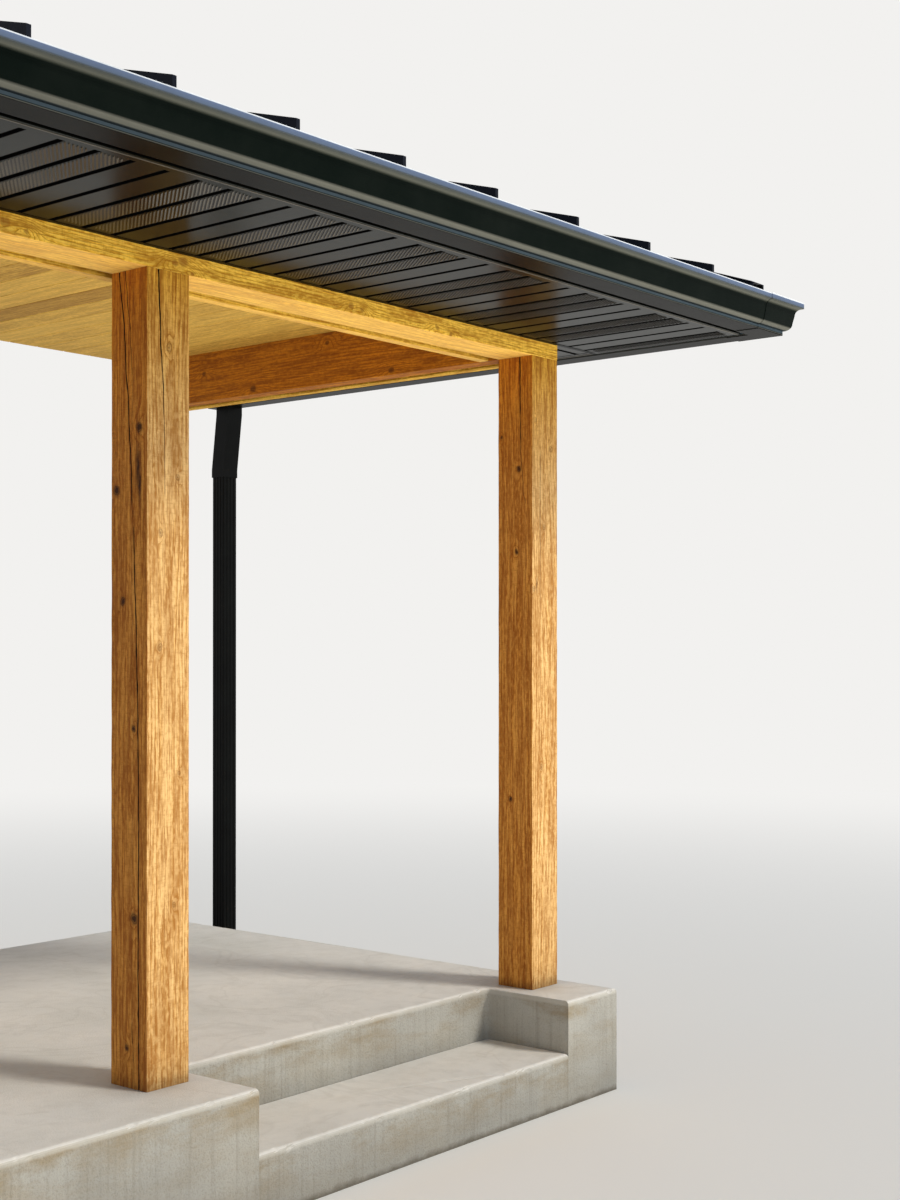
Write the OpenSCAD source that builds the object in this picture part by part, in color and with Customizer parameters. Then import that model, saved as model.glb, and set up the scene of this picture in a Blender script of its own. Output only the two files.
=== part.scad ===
// Porch canopy of a house entrance, from the ground to the roof caps.
// A hipped standing-seam roof stands on three timber posts and a concrete stoop,
// and its open back meets the house wall.
// X runs along the wall, Y runs towards the wall, Z is up, and sizes are in millimetres.
// The origin is on the ground, under the middle of the overall box.

/* [Posts and bays] */
// Side of the square timber posts
post_w = 159; // [130:1:200]
// Centre to centre of neighbouring posts
bay_w = 1830; // [1500:5:2200]
// Front face of the posts to the house wall
porch_d = 2227; // [1900:1:2800]
// Stoop top to the underside of the beams
clear_h = 2345; // [2100:5:2600]
// Bevel on the long edges of posts and beams
edge_bevel = 4; // [1:0.5:10]

/* [Stoop] */
// Height of one riser, of which the stoop has two
riser_h = 188; // [140:1:200]
// Stoop front edge to the front face of the posts
stoop_front = 216; // [180:1:300]
// Stoop side edge beyond the end posts
stoop_side = 75; // [30:1:120]
// Depth of the inset step, from the stoop front to the upper riser
step_d = 371; // [300:1:480]
// Side of the inset step to the nearest post
step_margin = 74; // [40:1:150]
// Radius of the rounded concrete edges
nosing_r = 15; // [5:1:25]

/* [Beams] */
// Height of the front beam timber
front_beam_h = 165; // [140:1:180]
// Width of the sunk strip behind the front beam
front_groove_w = 46; // [30:1:80]
// Thickness of the inner board of the front beam
inner_board_t = 44; // [30:1:60]
// Thickness of the side beam timber
side_beam_t = 76; // [50:1:80]
// Width of the sunk strip beside the side beam
side_groove_w = 41; // [25:1:50]
// Thickness of the outer board of the side beam
outer_board_t = 38; // [20:1:40]
// Height of the outer board of the side beam
outer_board_h = 150; // [120:1:160]
// How far the strips are sunk above the beam undersides
groove_d = 18; // [8:1:30]

/* [Ceiling] */
// Beam underside up to the ceiling boards
ceiling_rise = 211; // [190:1:215]
// Thickness of the ceiling boards
ceiling_t = 19; // [16:1:25]
// Visible width of one ceiling board
board_w = 140; // [80:1:190]
// Width of the bevelled joint between ceiling boards
board_joint_w = 8; // [4:1:12]
// Depth of the bevelled joint between ceiling boards
board_joint_d = 4; // [2:1:6]

/* [Roof] */
// Slope of the roof above level, in degrees
pitch = 16.3; // [14:0.1:20]
// Front face of the posts to the front fascia
front_overhang = 667; // [550:1:800]
// Outer face of the end posts to the side fascia
side_overhang = 260; // [200:1:320]
// Thickness of the rafters, joists and fascia boards
lumber_t = 38; // [32:1:45]
// Depth of the rafters and ceiling joists
rafter_d = 89; // [80:1:95]
// Depth of the ridge board
ridge_d = 140; // [120:1:180]
// Centre to centre of rafters
rafter_gap = 406; // [300:1:600]
// Depth of the seat cut in the front rafters
seat_d = 12; // [6:1:20]
// Thickness of the roof sheathing
deck_t = 13; // [9:1:19]

/* [Standing seams] */
// Centre to centre of the seams
seam_gap = 406; // [300:1:600]
// Height of a seam above the pan
seam_h = 38; // [25:1:50]
// Thickness of the upright of a seam
seam_t = 5; // [3:0.5:8]
// Width of the folded head of a seam
seam_head_w = 9.5; // [8:0.5:16]
// Height of the folded head of a seam
seam_head_h = 9; // [6:0.5:12]
// Width of the folded tab that closes a seam at the eave
seam_end_w = 13; // [9:0.5:20]
// Thickness of that tab
seam_end_t = 3; // [1:0.5:5]
// Gap between the upper end of a seam and the edge of a cap
seam_stop = 6; // [2:1:20]
// Thickness of the roof metal
pan_t = 2.5; // [1.5:0.5:4]
// Overhang of the roof metal past the fascia
eave_lap = 52; // [25:1:70]
// Depth of the turned-down edge of the roof metal at the eave
eave_hem = 12; // [6:1:15]
// Reach of the hip and ridge caps to each side, measured along the wall
cap_reach = 125; // [90:1:160]
// Height of the hip and ridge caps above the pans
cap_h = 28; // [15:1:45]
// Overhang of a cap past the closure strip under its edge
cap_lap = 14; // [5:1:25]
// Corner cut off the lower end of a hip cap, measured along each eave
cap_cut = 34; // [10:1:80]
// Thickness of the hip and ridge caps
cap_t = 2.5; // [1.5:0.5:4]

/* [Soffit] */
// Beam underside up to the soffit
soffit_rise = 58; // [45:1:70]
// Soffit up to the underside of the fascia boards
fascia_lift = 26; // [22:1:32]
// Height of the fascia boards
fascia_h = 118; // [112:1:130]
// Width of one soffit rib
rib_w = 103.6; // [80:0.1:120]
// How far left of the middle a groove of the front soffit lies
rib_start = 12; // [-50:1:50]
// Width of the groove between two ribs
rib_groove_w = 14; // [6:0.5:18]
// Depth of the groove between two ribs
rib_groove_d = 12; // [6:0.5:16]
// Thickness of the soffit metal
soffit_t = 1.5; // [1:0.25:2.5]
// Width of the channel strips that hold the soffit
channel_w = 20; // [12:1:30]
// Width of the plain strips along the outer edges of the soffit
edge_strip_w = 36; // [20:1:45]
// How far all those strips hang below the soffit
channel_drop = 1; // [0:0.5:3]
// Underside of the fascia left bare in front of the soffit
fascia_gap = 22; // [10:1:30]

/* [Gutter] */
// Outward reach of the gutter at its lip
gutter_w = 145; // [138:1:165]
// Width of the gutter bottom
gutter_base = 88; // [85:1:92]
// Height of the gutter front
gutter_h = 117; // [105:1:125]
// Height of the gutter back against the fascia
gutter_back_h = 128; // [118:1:130]
// Height of the upright strip at the foot of the gutter front
foot_strip_h = 15; // [8:1:18]
// Reach of the rounded belly above that strip
belly_w = 26; // [14:1:28]
// Height of the rounded belly
belly_h = 26; // [12:1:28]
// Outward lean of the flat face above the belly
face_lean = 6; // [0:1:8]
// Height of the hollow curve under the lip
cove_h = 28; // [18:1:32]
// Height of the upright lip
lip_h = 19; // [10:1:22]
// Width of the folded lip
lip_w = 14; // [10:1:20]
// Thickness of the gutter metal
gutter_t = 1.5; // [1:0.25:2]
// Gutter bottom below the soffit
gutter_drop = 2; // [0:1:8]
// Reach of a corner piece back from the fascia corner
corner_reach = 90; // [60:1:150]
// Lap of a corner piece over a gutter end
corner_lap = 40; // [20:1:50]

/* [Downspouts] */
// Width of a downspout, along the wall
pipe_w = 84; // [70:1:84]
// Depth of a downspout, out from the wall
pipe_d = 76; // [55:1:76]
// Thickness of the downspout metal
pipe_t = 2; // [1.5:0.25:2.5]
// Depth of the flutes down the pipe faces
flute_d = 3; // [1:0.5:4]
// Width of one flute
flute_w = 10; // [6:1:12]
// Gap between the pipe and the wall
pipe_gap = 30; // [5:1:50]
// Length of the leaning top piece below the gutter
offset_h = 330; // [250:5:450]
// How far the outlet stands in front of the straight pipe
offset_y = 32; // [10:1:60]
// Length of the sleeves at both ends of the leaning piece
sleeve_h = 35; // [20:1:50]
// Pipe end above the ground
pipe_foot = 40; // [10:5:120]

/* [Hidden] */

// Width of the top of a soffit groove, as a share of its mouth
groove_taper = 0.7;
// Clearance where one sheet of metal slides over another
slide_gap = 0.3;
// Steps in each curve of the gutter face
curve_steps = 8;
// Steps in a full turn of the rounded concrete edges
nosing_steps = 48;
// Flutes on each face of a downspout
flutes = 3;
// A length longer than any cut through the whole canopy
far = 9000;
// How far a cut runs out past the face it starts from
past = 1;

// Places along X, from the centre line outwards
half_w = bay_w + post_w / 2;
fascia_x = half_w + side_overhang;
soffit_x = fascia_x - fascia_gap;
stoop_x = half_w + stoop_side;
step_x0 = post_w / 2 + step_margin;
side_in_x = bay_w - post_w / 2;
step_x1 = side_in_x - step_margin;
side_out_x = side_in_x + side_beam_t;
board_in_x = side_out_x + side_groove_w;
board_out_x = board_in_x + outer_board_t;
corner_x = fascia_x - corner_reach;
pipe_x = fascia_x + gutter_base / 2;

// Places along Y, with the wall at the back
corner_gap = gutter_t + slide_gap;
y_wall = (porch_d + front_overhang + gutter_w + corner_gap) / 2;
y_post = y_wall - porch_d;
y_stoop = y_post - stoop_front;
y_riser = y_stoop + step_d;
y_fascia = y_post - front_overhang;
y_soffit = y_fascia + fascia_gap;
y_channel = y_post - channel_w;
y_groove = y_post + post_w;
y_inner = y_groove + front_groove_w;
y_ceiling = y_inner + inner_board_t;
y_corner = y_fascia + corner_reach;
y_pipe = y_wall - pipe_gap - pipe_d / 2;
roof_run = y_wall - y_fascia;

// Heights from the ground
z_stoop = 2 * riser_h;
z_beam = z_stoop + clear_h;
z_soffit = z_beam + soffit_rise;
z_edge = z_soffit - channel_drop;
z_ceiling = z_beam + ceiling_rise;
z_joist = z_ceiling + ceiling_t;
z_groove = z_soffit + rib_groove_d + soffit_t;
z_fascia = z_soffit + fascia_lift;
z_eave = z_fascia + fascia_h;
z_gutter = z_soffit - gutter_drop;
z_pipe_top = z_gutter - offset_h + sleeve_h;

// Roof planes, measured up from the underside of the sheathing
slope = tan(pitch);
rafter_drop = rafter_d / cos(pitch);
z_plate = z_eave + front_overhang * slope - rafter_drop + seat_d;
pan_z = deck_t + pan_t;
cap_z = pan_z + cap_h - cap_t;

// Distances in plan from a hip line, measured along the wall
hip_clear = lumber_t / sqrt(2);
panel_inset = 0.5;
seam_inset = cap_reach + seam_stop;
closure_out = cap_reach - cap_lap;
closure_t = 3;
closure_in = closure_out - closure_t;

// Boxes, plans and roof planes

module in_box(x0, x1, y0, y1, z0, z1) {
  translate([x0, y0, z0]) cube([x1 - x0, y1 - y0, z1 - z0]);
}

// An upright prism over an outline given as [x, distance behind the front fascia]
module over_plan(points) {
  linear_extrude(far) polygon([for (p = points) [p[0], y_fascia + p[1]]]);
}

// Makes a right-hand piece into a left-hand one
module to_left() {
  mirror([1, 0, 0]) children();
}

module both_sides() {
  children();
  mirror([1, 0, 0]) children();
}

// Local X along the eave, local Y up the slope, local Z out of the roof
module on_front_slope() {
  translate([0, y_fascia, z_eave]) rotate([pitch, 0, 0]) children();
}

// The same for the right slope, with local X at zero on the wall and less towards the front
module on_right_slope() {
  translate([fascia_x, y_wall, z_eave]) rotate([0, 0, 90]) rotate([pitch, 0, 0]) children();
}

// A layer of one slope between two heights out of the roof
module layer(z0, z1) {
  in_box(-far / 2, far / 2, -2 * eave_lap, far / 2, z0, z1);
}

// Plan of the front slope, cut back from both hips, from a distance behind the fascia
function front_plan(inset, from) = [
  [-(fascia_x - from - inset), from], [fascia_x - from - inset, from], [0, fascia_x - inset]
];

// Plan of the right slope, cut back from the hip and from the ridge line
function right_plan(inset, ridge_gap, from) = [
  [fascia_x - from, from + inset], [fascia_x - from, roof_run],
  [ridge_gap, roof_run], [ridge_gap, fascia_x + inset - ridge_gap]
];

// Strip in plan on the front slope, between two distances from the right hip
function front_hip_strip(near, beyond) = [
  [fascia_x + eave_lap - beyond, -eave_lap], [fascia_x + eave_lap - near, -eave_lap],
  [0, fascia_x - near], [0, fascia_x - beyond]
];

// Strip in plan on the right slope, between two distances from the right hip
function right_hip_strip(near, beyond) = [
  [fascia_x + eave_lap, near - eave_lap], [fascia_x + eave_lap, beyond - eave_lap],
  [beyond, fascia_x], [near, fascia_x]
];

// Corner of the roof in plan that is cut off square to the right hip
function hip_corner(leg) = [
  [fascia_x + eave_lap - leg - past, -eave_lap - past], [fascia_x + eave_lap + past, -eave_lap - past],
  [fascia_x + eave_lap + past, leg - eave_lap + past]
];

// Strip in plan on the right slope, between two distances from the ridge
function ridge_strip(near, beyond) = [
  [near, fascia_x], [beyond, fascia_x], [beyond, roof_run], [near, roof_run]
];

// All that lies under the three slopes, down from a depth below the sheathing
module under_slopes(depth) {
  z = z_eave - depth;
  intersection() {
    translate([0, y_wall, 0]) rotate([90, 0, 0]) linear_extrude(roof_run)
      polygon([[-fascia_x, 0], [fascia_x, 0], [fascia_x, z], [0, z + fascia_x * slope], [-fascia_x, z]]);
    translate([-fascia_x, 0, 0]) rotate([90, 0, 90]) linear_extrude(2 * fascia_x)
      polygon([[y_fascia, 0], [y_wall, 0], [y_wall, z + roof_run * slope], [y_fascia, z]]);
  }
}

// Timbers with bevelled long edges

module bevelled_outline(a, b) {
  e = edge_bevel;
  polygon([[e, 0], [a - e, 0], [a, e], [a, b - e], [a - e, b], [e, b], [0, b - e], [0, e]]);
}

module timber_along_x(l, d, h) {
  rotate([90, 0, 90]) linear_extrude(l) bevelled_outline(d, h);
}

module timber_along_y(l, w, h) {
  translate([0, l, 0]) rotate([90, 0, 0]) linear_extrude(l) bevelled_outline(w, h);
}

// Stoop

// Takes the sharp corner off a level concrete edge along X, with the concrete at +Y and -Z
module edge_cut(l) {
  difference() {
    translate([0, -past, -nosing_r]) cube([l, nosing_r + past, nosing_r + past]);
    translate([-past, nosing_r, -nosing_r]) rotate([0, 90, 0])
      cylinder(h = l + 2 * past, r = nosing_r, $fn = nosing_steps);
  }
}

module porch_slab() {
  color("lightgray") difference() {
    in_box(-stoop_x, stoop_x, y_stoop, y_wall, 0, z_stoop);
    in_box(step_x0, step_x1, y_stoop - past, y_riser, -past, z_stoop + past);
    translate([-stoop_x - past, y_stoop, z_stoop]) edge_cut(stoop_x + step_x0 + past);
    translate([step_x1, y_stoop, z_stoop]) edge_cut(stoop_x - step_x1 + past);
    translate([step_x0, y_riser, z_stoop]) edge_cut(step_x1 - step_x0);
    both_sides() translate([stoop_x, y_stoop - past, z_stoop]) rotate([0, 0, 90])
      edge_cut(porch_d + stoop_front + 2 * past);
  }
}

module lower_step() {
  color("lightgray") difference() {
    in_box(step_x0, step_x1, y_stoop, y_riser, 0, riser_h);
    translate([step_x0 - past, y_stoop, riser_h]) edge_cut(step_x1 - step_x0 + 2 * past);
  }
}

// Posts

module post(x) {
  color("peru") translate([x - post_w / 2, y_post, z_stoop])
    linear_extrude(clear_h) bevelled_outline(post_w, post_w);
}

module left_post() {
  post(-bay_w);
}

module middle_post() {
  post(0);
}

module right_post() {
  post(bay_w);
}

// Beams

module front_beam() {
  color("goldenrod") translate([-half_w, y_post, z_beam])
    timber_along_x(2 * half_w, post_w, front_beam_h);
}

module front_inner_board() {
  color("goldenrod") translate([-side_in_x, y_inner, z_beam])
    timber_along_x(2 * side_in_x, inner_board_t, z_joist - z_beam);
}

module right_side_beam() {
  color("chocolate") translate([side_in_x, y_groove, z_beam])
    timber_along_y(y_wall - y_groove, side_beam_t, z_joist - z_beam);
}

module left_side_beam() {
  to_left() right_side_beam();
}

module side_outer_boards() {
  color("goldenrod") both_sides() translate([board_in_x, y_groove, z_beam])
    timber_along_y(y_wall - y_groove, outer_board_t, outer_board_h);
}

// The sunk strips between the timbers of each beam
module beam_fillers() {
  z0 = z_beam + groove_d;
  z1 = z_beam + outer_board_h - edge_bevel;
  color("saddlebrown") {
    in_box(-side_in_x, side_in_x, y_groove, y_inner, z0, z1);
    both_sides() in_box(side_out_x, board_in_x, y_groove, y_wall, z0, z1);
  }
}

// Roof framing

// Packing on the front beam that carries the front rafters
module plate_box() {
  in_box(-half_w, half_w, y_post, y_post + rafter_d, z_beam + front_beam_h, z_plate);
}

module rafter_plate() {
  color("burlywood") intersection() {
    plate_box();
    over_plan(front_plan(hip_clear, lumber_t));
  }
}

// Timbers that the rafters are notched over, and the ceiling that they stay clear of
module rafter_seats() {
  in_box(-half_w, half_w, y_post, y_groove, z_beam, z_beam + front_beam_h);
  in_box(-side_in_x, side_in_x, y_inner, y_wall, z_beam, z_joist);
  both_sides() {
    in_box(side_in_x, side_out_x, y_groove, y_wall, z_beam, z_joist);
    in_box(side_out_x, board_out_x, y_groove, y_wall, z_beam, z_beam + outer_board_h);
  }
}

module front_rafters() {
  reach = floor((fascia_x - 2 * rafter_d) / rafter_gap);
  color("burlywood") difference() {
    intersection() {
      on_front_slope() for (i = [-reach : reach])
        translate([i * rafter_gap, 0, 0])
          in_box(-lumber_t / 2, lumber_t / 2, 0, far / 2, -rafter_d, 0);
      over_plan(front_plan(hip_clear, lumber_t));
    }
    plate_box();
    rafter_seats();
  }
}

// Centre line of each side rafter, in front of the wall; the first lies against the wall
function side_rafter_places() = [
  for (i = [0 : floor((roof_run - 2 * rafter_d) / rafter_gap)]) lumber_t / 2 + i * rafter_gap
];

module right_rafters() {
  color("burlywood") difference() {
    intersection() {
      on_right_slope() for (s = side_rafter_places())
        in_box(-s - lumber_t / 2, -s + lumber_t / 2, 0, far / 2, -rafter_d, 0);
      over_plan(right_plan(hip_clear, lumber_t / 2, lumber_t));
    }
    rafter_seats();
  }
}

module left_rafters() {
  to_left() right_rafters();
}

module hip_rafter() {
  top = z_eave - hip_clear / 2 * slope;
  rise = far / 2 * slope / sqrt(2);
  difference() {
    intersection() {
      translate([fascia_x, y_fascia, 0]) rotate([90, 0, 135]) translate([0, 0, -lumber_t / 2])
        linear_extrude(lumber_t)
          polygon([[0, top - rafter_drop], [far / 2, top - rafter_drop + rise], [far / 2, top + rise], [0, top]]);
      in_box(0, fascia_x - lumber_t, y_fascia + lumber_t, y_fascia + fascia_x, 0, far);
    }
    rafter_seats();
  }
}

module hip_rafters() {
  color("burlywood") both_sides() hip_rafter();
}

module ridge_board() {
  top = z_eave + (fascia_x - lumber_t / 2) * slope;
  color("burlywood")
    in_box(-lumber_t / 2, lumber_t / 2, y_fascia + fascia_x, y_wall, top - ridge_d, top);
}

// Ceiling

module wall_ledger() {
  color("burlywood") intersection() {
    in_box(-side_in_x, side_in_x, y_wall - lumber_t, y_wall, z_joist, z_joist + rafter_d);
    under_slopes(rafter_drop);
  }
}

// Each joist lies against the front of a side rafter and sits on both side beams
module ceiling_joists() {
  color("burlywood") intersection() {
    for (s = side_rafter_places())
      if (s > lumber_t && y_wall - s - 1.5 * lumber_t > y_ceiling)
        in_box(-side_out_x, side_out_x, y_wall - s - 1.5 * lumber_t, y_wall - s - lumber_t / 2,
               z_joist, z_joist + rafter_d);
    under_slopes(0);
  }
}

// Places of evenly spaced grooves between two ends, clear of the ends, with one at an offset
function groove_places(x0, x1, step, offset, clear) = [
  for (i = [ceil((x0 + clear - offset) / step) : floor((x1 - clear - offset) / step)]) offset + i * step
];

module ceiling_boards() {
  joints = groove_places(-side_in_x, side_in_x, board_w, board_w / 2, board_joint_w);
  w = board_joint_w / 2;
  color("tan") translate([0, y_wall, z_ceiling]) rotate([90, 0, 0]) linear_extrude(y_wall - y_ceiling)
    polygon(concat(
      [[-side_in_x, 0]],
      [for (j = joints) each [[j - w, 0], [j, board_joint_d], [j + w, 0]]],
      [[side_in_x, 0], [side_in_x, ceiling_t], [-side_in_x, ceiling_t]]
    ));
}

// Roof sheathing

module front_deck() {
  color("wheat") intersection() {
    on_front_slope() layer(0, deck_t);
    over_plan(front_plan(0, 0));
  }
}

module right_deck() {
  color("wheat") intersection() {
    on_right_slope() layer(0, deck_t);
    over_plan(right_plan(0, 0, 0));
  }
}

module left_deck() {
  to_left() right_deck();
}

// Standing-seam roof

// End view of one seam, with its folded head to one side, rooted in the pan
module seam_outline() {
  translate([-seam_t / 2, -pan_t / 2]) square([seam_t, seam_h + pan_t / 2]);
  translate([-seam_t / 2, seam_h - seam_head_h]) square([seam_head_w, seam_head_h]);
}

// Seams of one slope at the given places along the eave
module seams(places) {
  for (p = places)
    translate([p, far / 2, pan_z]) rotate([90, 0, 0]) linear_extrude(far / 2 + 2 * eave_lap) seam_outline();
}

// Boxes on the same places as wide as the tabs that close the seams at the eave
module seam_tabs(places) {
  for (p = places)
    in_box(p - seam_t / 2, p - seam_t / 2 + seam_end_w, -2 * eave_lap, far / 2, pan_z - pan_t / 2, pan_z + seam_h);
}

module front_roof_panels() {
  reach = floor((fascia_x - seam_inset) / seam_gap - 0.5);
  places = [for (i = [-reach - 1 : reach]) (i + 0.5) * seam_gap];
  color("dimgray") {
    intersection() {
      on_front_slope() layer(deck_t, pan_z);
      over_plan(front_plan(panel_inset, -eave_lap));
    }
    intersection() {
      on_front_slope() seams(places);
      over_plan(front_plan(seam_inset, -eave_lap));
    }
    intersection() {
      on_front_slope() seam_tabs(places);
      in_box(-far, far, y_fascia - eave_lap, y_fascia - eave_lap + seam_end_t, 0, far);
    }
    intersection() {
      on_front_slope() layer(deck_t - eave_hem, pan_z);
      over_plan(front_plan(panel_inset, -eave_lap));
      in_box(-far, far, y_fascia - eave_lap, y_fascia - eave_lap + pan_t, 0, far);
    }
  }
}

module right_roof_panels() {
  last = floor((roof_run - seam_inset) / seam_gap - 0.5);
  places = [for (i = [0 : last]) -(i + 0.5) * seam_gap];
  color("dimgray") {
    intersection() {
      on_right_slope() layer(deck_t, pan_z);
      over_plan(right_plan(panel_inset, panel_inset, -eave_lap));
    }
    intersection() {
      on_right_slope() seams(places);
      over_plan(right_plan(seam_inset, seam_inset, -eave_lap));
    }
    intersection() {
      on_right_slope() seam_tabs(places);
      in_box(fascia_x + eave_lap - seam_end_t, fascia_x + eave_lap, -far, far, 0, far);
    }
    intersection() {
      on_right_slope() layer(deck_t - eave_hem, pan_z);
      over_plan(right_plan(panel_inset, panel_inset, -eave_lap));
      in_box(fascia_x + eave_lap - pan_t, far, -far, far, 0, far);
    }
  }
}

module left_roof_panels() {
  to_left() right_roof_panels();
}

// Caps over the hips and the ridge: wings above the pans, with closures down to the pans

module front_wing(z0, near, beyond) {
  intersection() {
    on_front_slope() layer(z0, cap_z + cap_t);
    over_plan(front_hip_strip(near, beyond));
  }
}

module right_wing(z0, plan) {
  intersection() {
    on_right_slope() layer(z0, cap_z + cap_t);
    over_plan(plan);
  }
}

module right_hip_cap() {
  color("black") difference() {
    union() {
      front_wing(cap_z, 0, cap_reach);
      front_wing(pan_z, closure_in, closure_out);
      right_wing(cap_z, right_hip_strip(0, cap_reach));
      right_wing(pan_z, right_hip_strip(closure_in, closure_out));
      intersection() {
        union() {
          front_wing(pan_z, 0, cap_reach);
          right_wing(pan_z, right_hip_strip(0, cap_reach));
        }
        over_plan(hip_corner(cap_cut + 2 * closure_t));
      }
    }
    over_plan(hip_corner(cap_cut));
  }
}

module left_hip_cap() {
  to_left() right_hip_cap();
}

module ridge_cap() {
  color("black") both_sides() {
    right_wing(cap_z, ridge_strip(0, cap_reach));
    right_wing(pan_z, ridge_strip(closure_in, closure_out));
  }
}

// Fascia

module front_fascia() {
  color("black")
    in_box(-fascia_x, fascia_x, y_fascia, y_fascia + lumber_t, z_fascia, z_eave);
}

module right_fascia() {
  color("black")
    in_box(fascia_x - lumber_t, fascia_x, y_fascia + lumber_t, y_wall, z_fascia, z_eave);
}

module left_fascia() {
  to_left() right_fascia();
}

// Soffit

// Folded sheet of flat ribs seen from its end, with the grooves standing up out of it
module ribbed_outline(x0, x1, grooves) {
  w = rib_groove_w / 2;
  v = w * groove_taper;
  t = soffit_t;
  d = rib_groove_d;
  under = [for (g = grooves) each [[g - w, 0], [g - v, d], [g + v, d], [g + w, 0]]];
  over = [for (i = [len(grooves) - 1 : -1 : 0]) let (g = grooves[i])
    each [[g + w + t, t], [g + v + t, d + t], [g - v - t, d + t], [g - w - t, t]]];
  polygon(concat([[x0, 0]], under, [[x1, 0], [x1, t]], over, [[x0, t]]));
}

module front_soffit() {
  ribs = groove_places(-soffit_x, soffit_x, rib_w, -rib_start, 2 * rib_groove_w);
  color("darkslategray") {
    translate([0, y_channel, z_soffit]) rotate([90, 0, 0])
      linear_extrude(y_channel - y_soffit) ribbed_outline(-soffit_x, soffit_x, ribs);
    in_box(-soffit_x, soffit_x, y_soffit, y_soffit + soffit_t, z_soffit, z_fascia);
    in_box(-soffit_x, soffit_x, y_soffit, y_soffit + edge_strip_w, z_edge, z_soffit + soffit_t);
    both_sides() {
      in_box(soffit_x - soffit_t, soffit_x, y_soffit, y_channel, z_soffit, z_fascia);
      in_box(soffit_x - edge_strip_w, soffit_x, y_soffit, y_channel, z_edge, z_soffit + soffit_t);
    }
  }
}

module right_soffit() {
  ribs = groove_places(0, porch_d, rib_w, rib_w / 2, 2 * rib_groove_w);
  color("darkslategray") difference() {
    union() {
      translate([board_out_x, y_post, z_soffit]) rotate([90, 0, 90])
        linear_extrude(soffit_x - board_out_x) ribbed_outline(0, porch_d, ribs);
      in_box(soffit_x - soffit_t, soffit_x, y_post, y_wall, z_soffit, z_fascia);
      in_box(soffit_x - edge_strip_w, soffit_x, y_post, y_wall, z_edge, z_soffit + soffit_t);
    }
    in_box(0, half_w, y_post - past, y_groove, 0, far);
  }
}

module left_soffit() {
  to_left() right_soffit();
}

// Strip along the front beam and across both corners, between the front and side soffits
module soffit_channels() {
  color("black") in_box(-soffit_x, soffit_x, y_channel, y_post, z_edge, z_groove);
}

// Gutter

// Quarter curves that run outwards and up, level at the start or upright at the start
function level_curve(p, w, h) = [
  for (i = [1 : curve_steps]) let (a = 90 * i / curve_steps) [p[0] + w * sin(a), p[1] + h * (1 - cos(a))]
];
function upright_curve(p, w, h) = [
  for (i = [1 : curve_steps]) let (a = 90 * i / curve_steps) [p[0] + w * (1 - cos(a)), p[1] + h * sin(a)]
];

// Outer line of the gutter, given as [out from the fascia, up from its bottom],
// from the back of the bottom round the front to the hem of the lip
function gutter_front_line() = let (
  foot = [gutter_base, foot_strip_h],
  neck = [gutter_base + belly_w + face_lean, gutter_h - lip_h - cove_h]
) concat(
  [[0, 0], [gutter_base, 0], foot],
  level_curve(foot, belly_w, belly_h),
  [neck],
  upright_curve(neck, gutter_w - neck[0], cove_h),
  [[gutter_w, gutter_h], [gutter_w - lip_w, gutter_h], [gutter_w - lip_w, gutter_h - lip_h / 2]]
);
function gutter_line() = concat([[0, gutter_back_h]], gutter_front_line());

// A line moved sideways by a distance, to its left as seen along its run
function unit(v) = v / norm(v);
function left_of(v) = [-v[1], v[0]];
function moved(line, d) = let (last = len(line) - 1) [
  for (i = [0 : last]) let (
    before = left_of(unit(line[max(i, 1)] - line[max(i, 1) - 1])),
    after = left_of(unit(line[min(i + 1, last)] - line[min(i + 1, last) - 1])),
    middle = unit(before + after)
  ) line[i] + middle * d / (middle * before)
];
function reversed(line) = [for (i = [len(line) - 1 : -1 : 0]) line[i]];

// A bent sheet on the left side of a line
module sheet_outline(line) {
  polygon(concat(line, reversed(moved(line, gutter_t))));
}

// Runs an outline given as [out from the fascia, up from the gutter bottom] along the front eave
module along_front(x0, x1) {
  translate([x1, y_fascia, z_gutter]) rotate([90, 0, -90]) linear_extrude(x1 - x0) children();
}

// Runs the same outline along the right eave
module along_right(y0, y1) {
  translate([fascia_x, y1, z_gutter]) rotate([90, 0, 0]) linear_extrude(y1 - y0) children();
}

module front_gutter() {
  end = corner_x + corner_lap;
  color("black") along_front(-end, end) sheet_outline(gutter_line());
}

// A pipe stub between two heights round the place where the water leaves the gutter
module outlet_stub(w, d, z0, z1) {
  in_box(pipe_x - w / 2, pipe_x + w / 2, y_pipe - offset_y - d / 2, y_pipe - offset_y + d / 2, z0, z1);
}

module right_gutter() {
  line = gutter_line();
  color("black") difference() {
    union() {
      along_right(y_corner - corner_lap, y_wall) sheet_outline(line);
      along_right(y_wall - gutter_t, y_wall) polygon([for (i = [0 : len(line) - 2]) line[i]]);
      outlet_stub(pipe_w, pipe_d, z_gutter - sleeve_h + gutter_t, z_gutter + gutter_t);
    }
    outlet_stub(pipe_w - 2 * pipe_t, pipe_d - 2 * pipe_t, z_gutter - sleeve_h, z_gutter + 2 * gutter_t);
  }
}

module left_gutter() {
  to_left() right_gutter();
}

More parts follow.
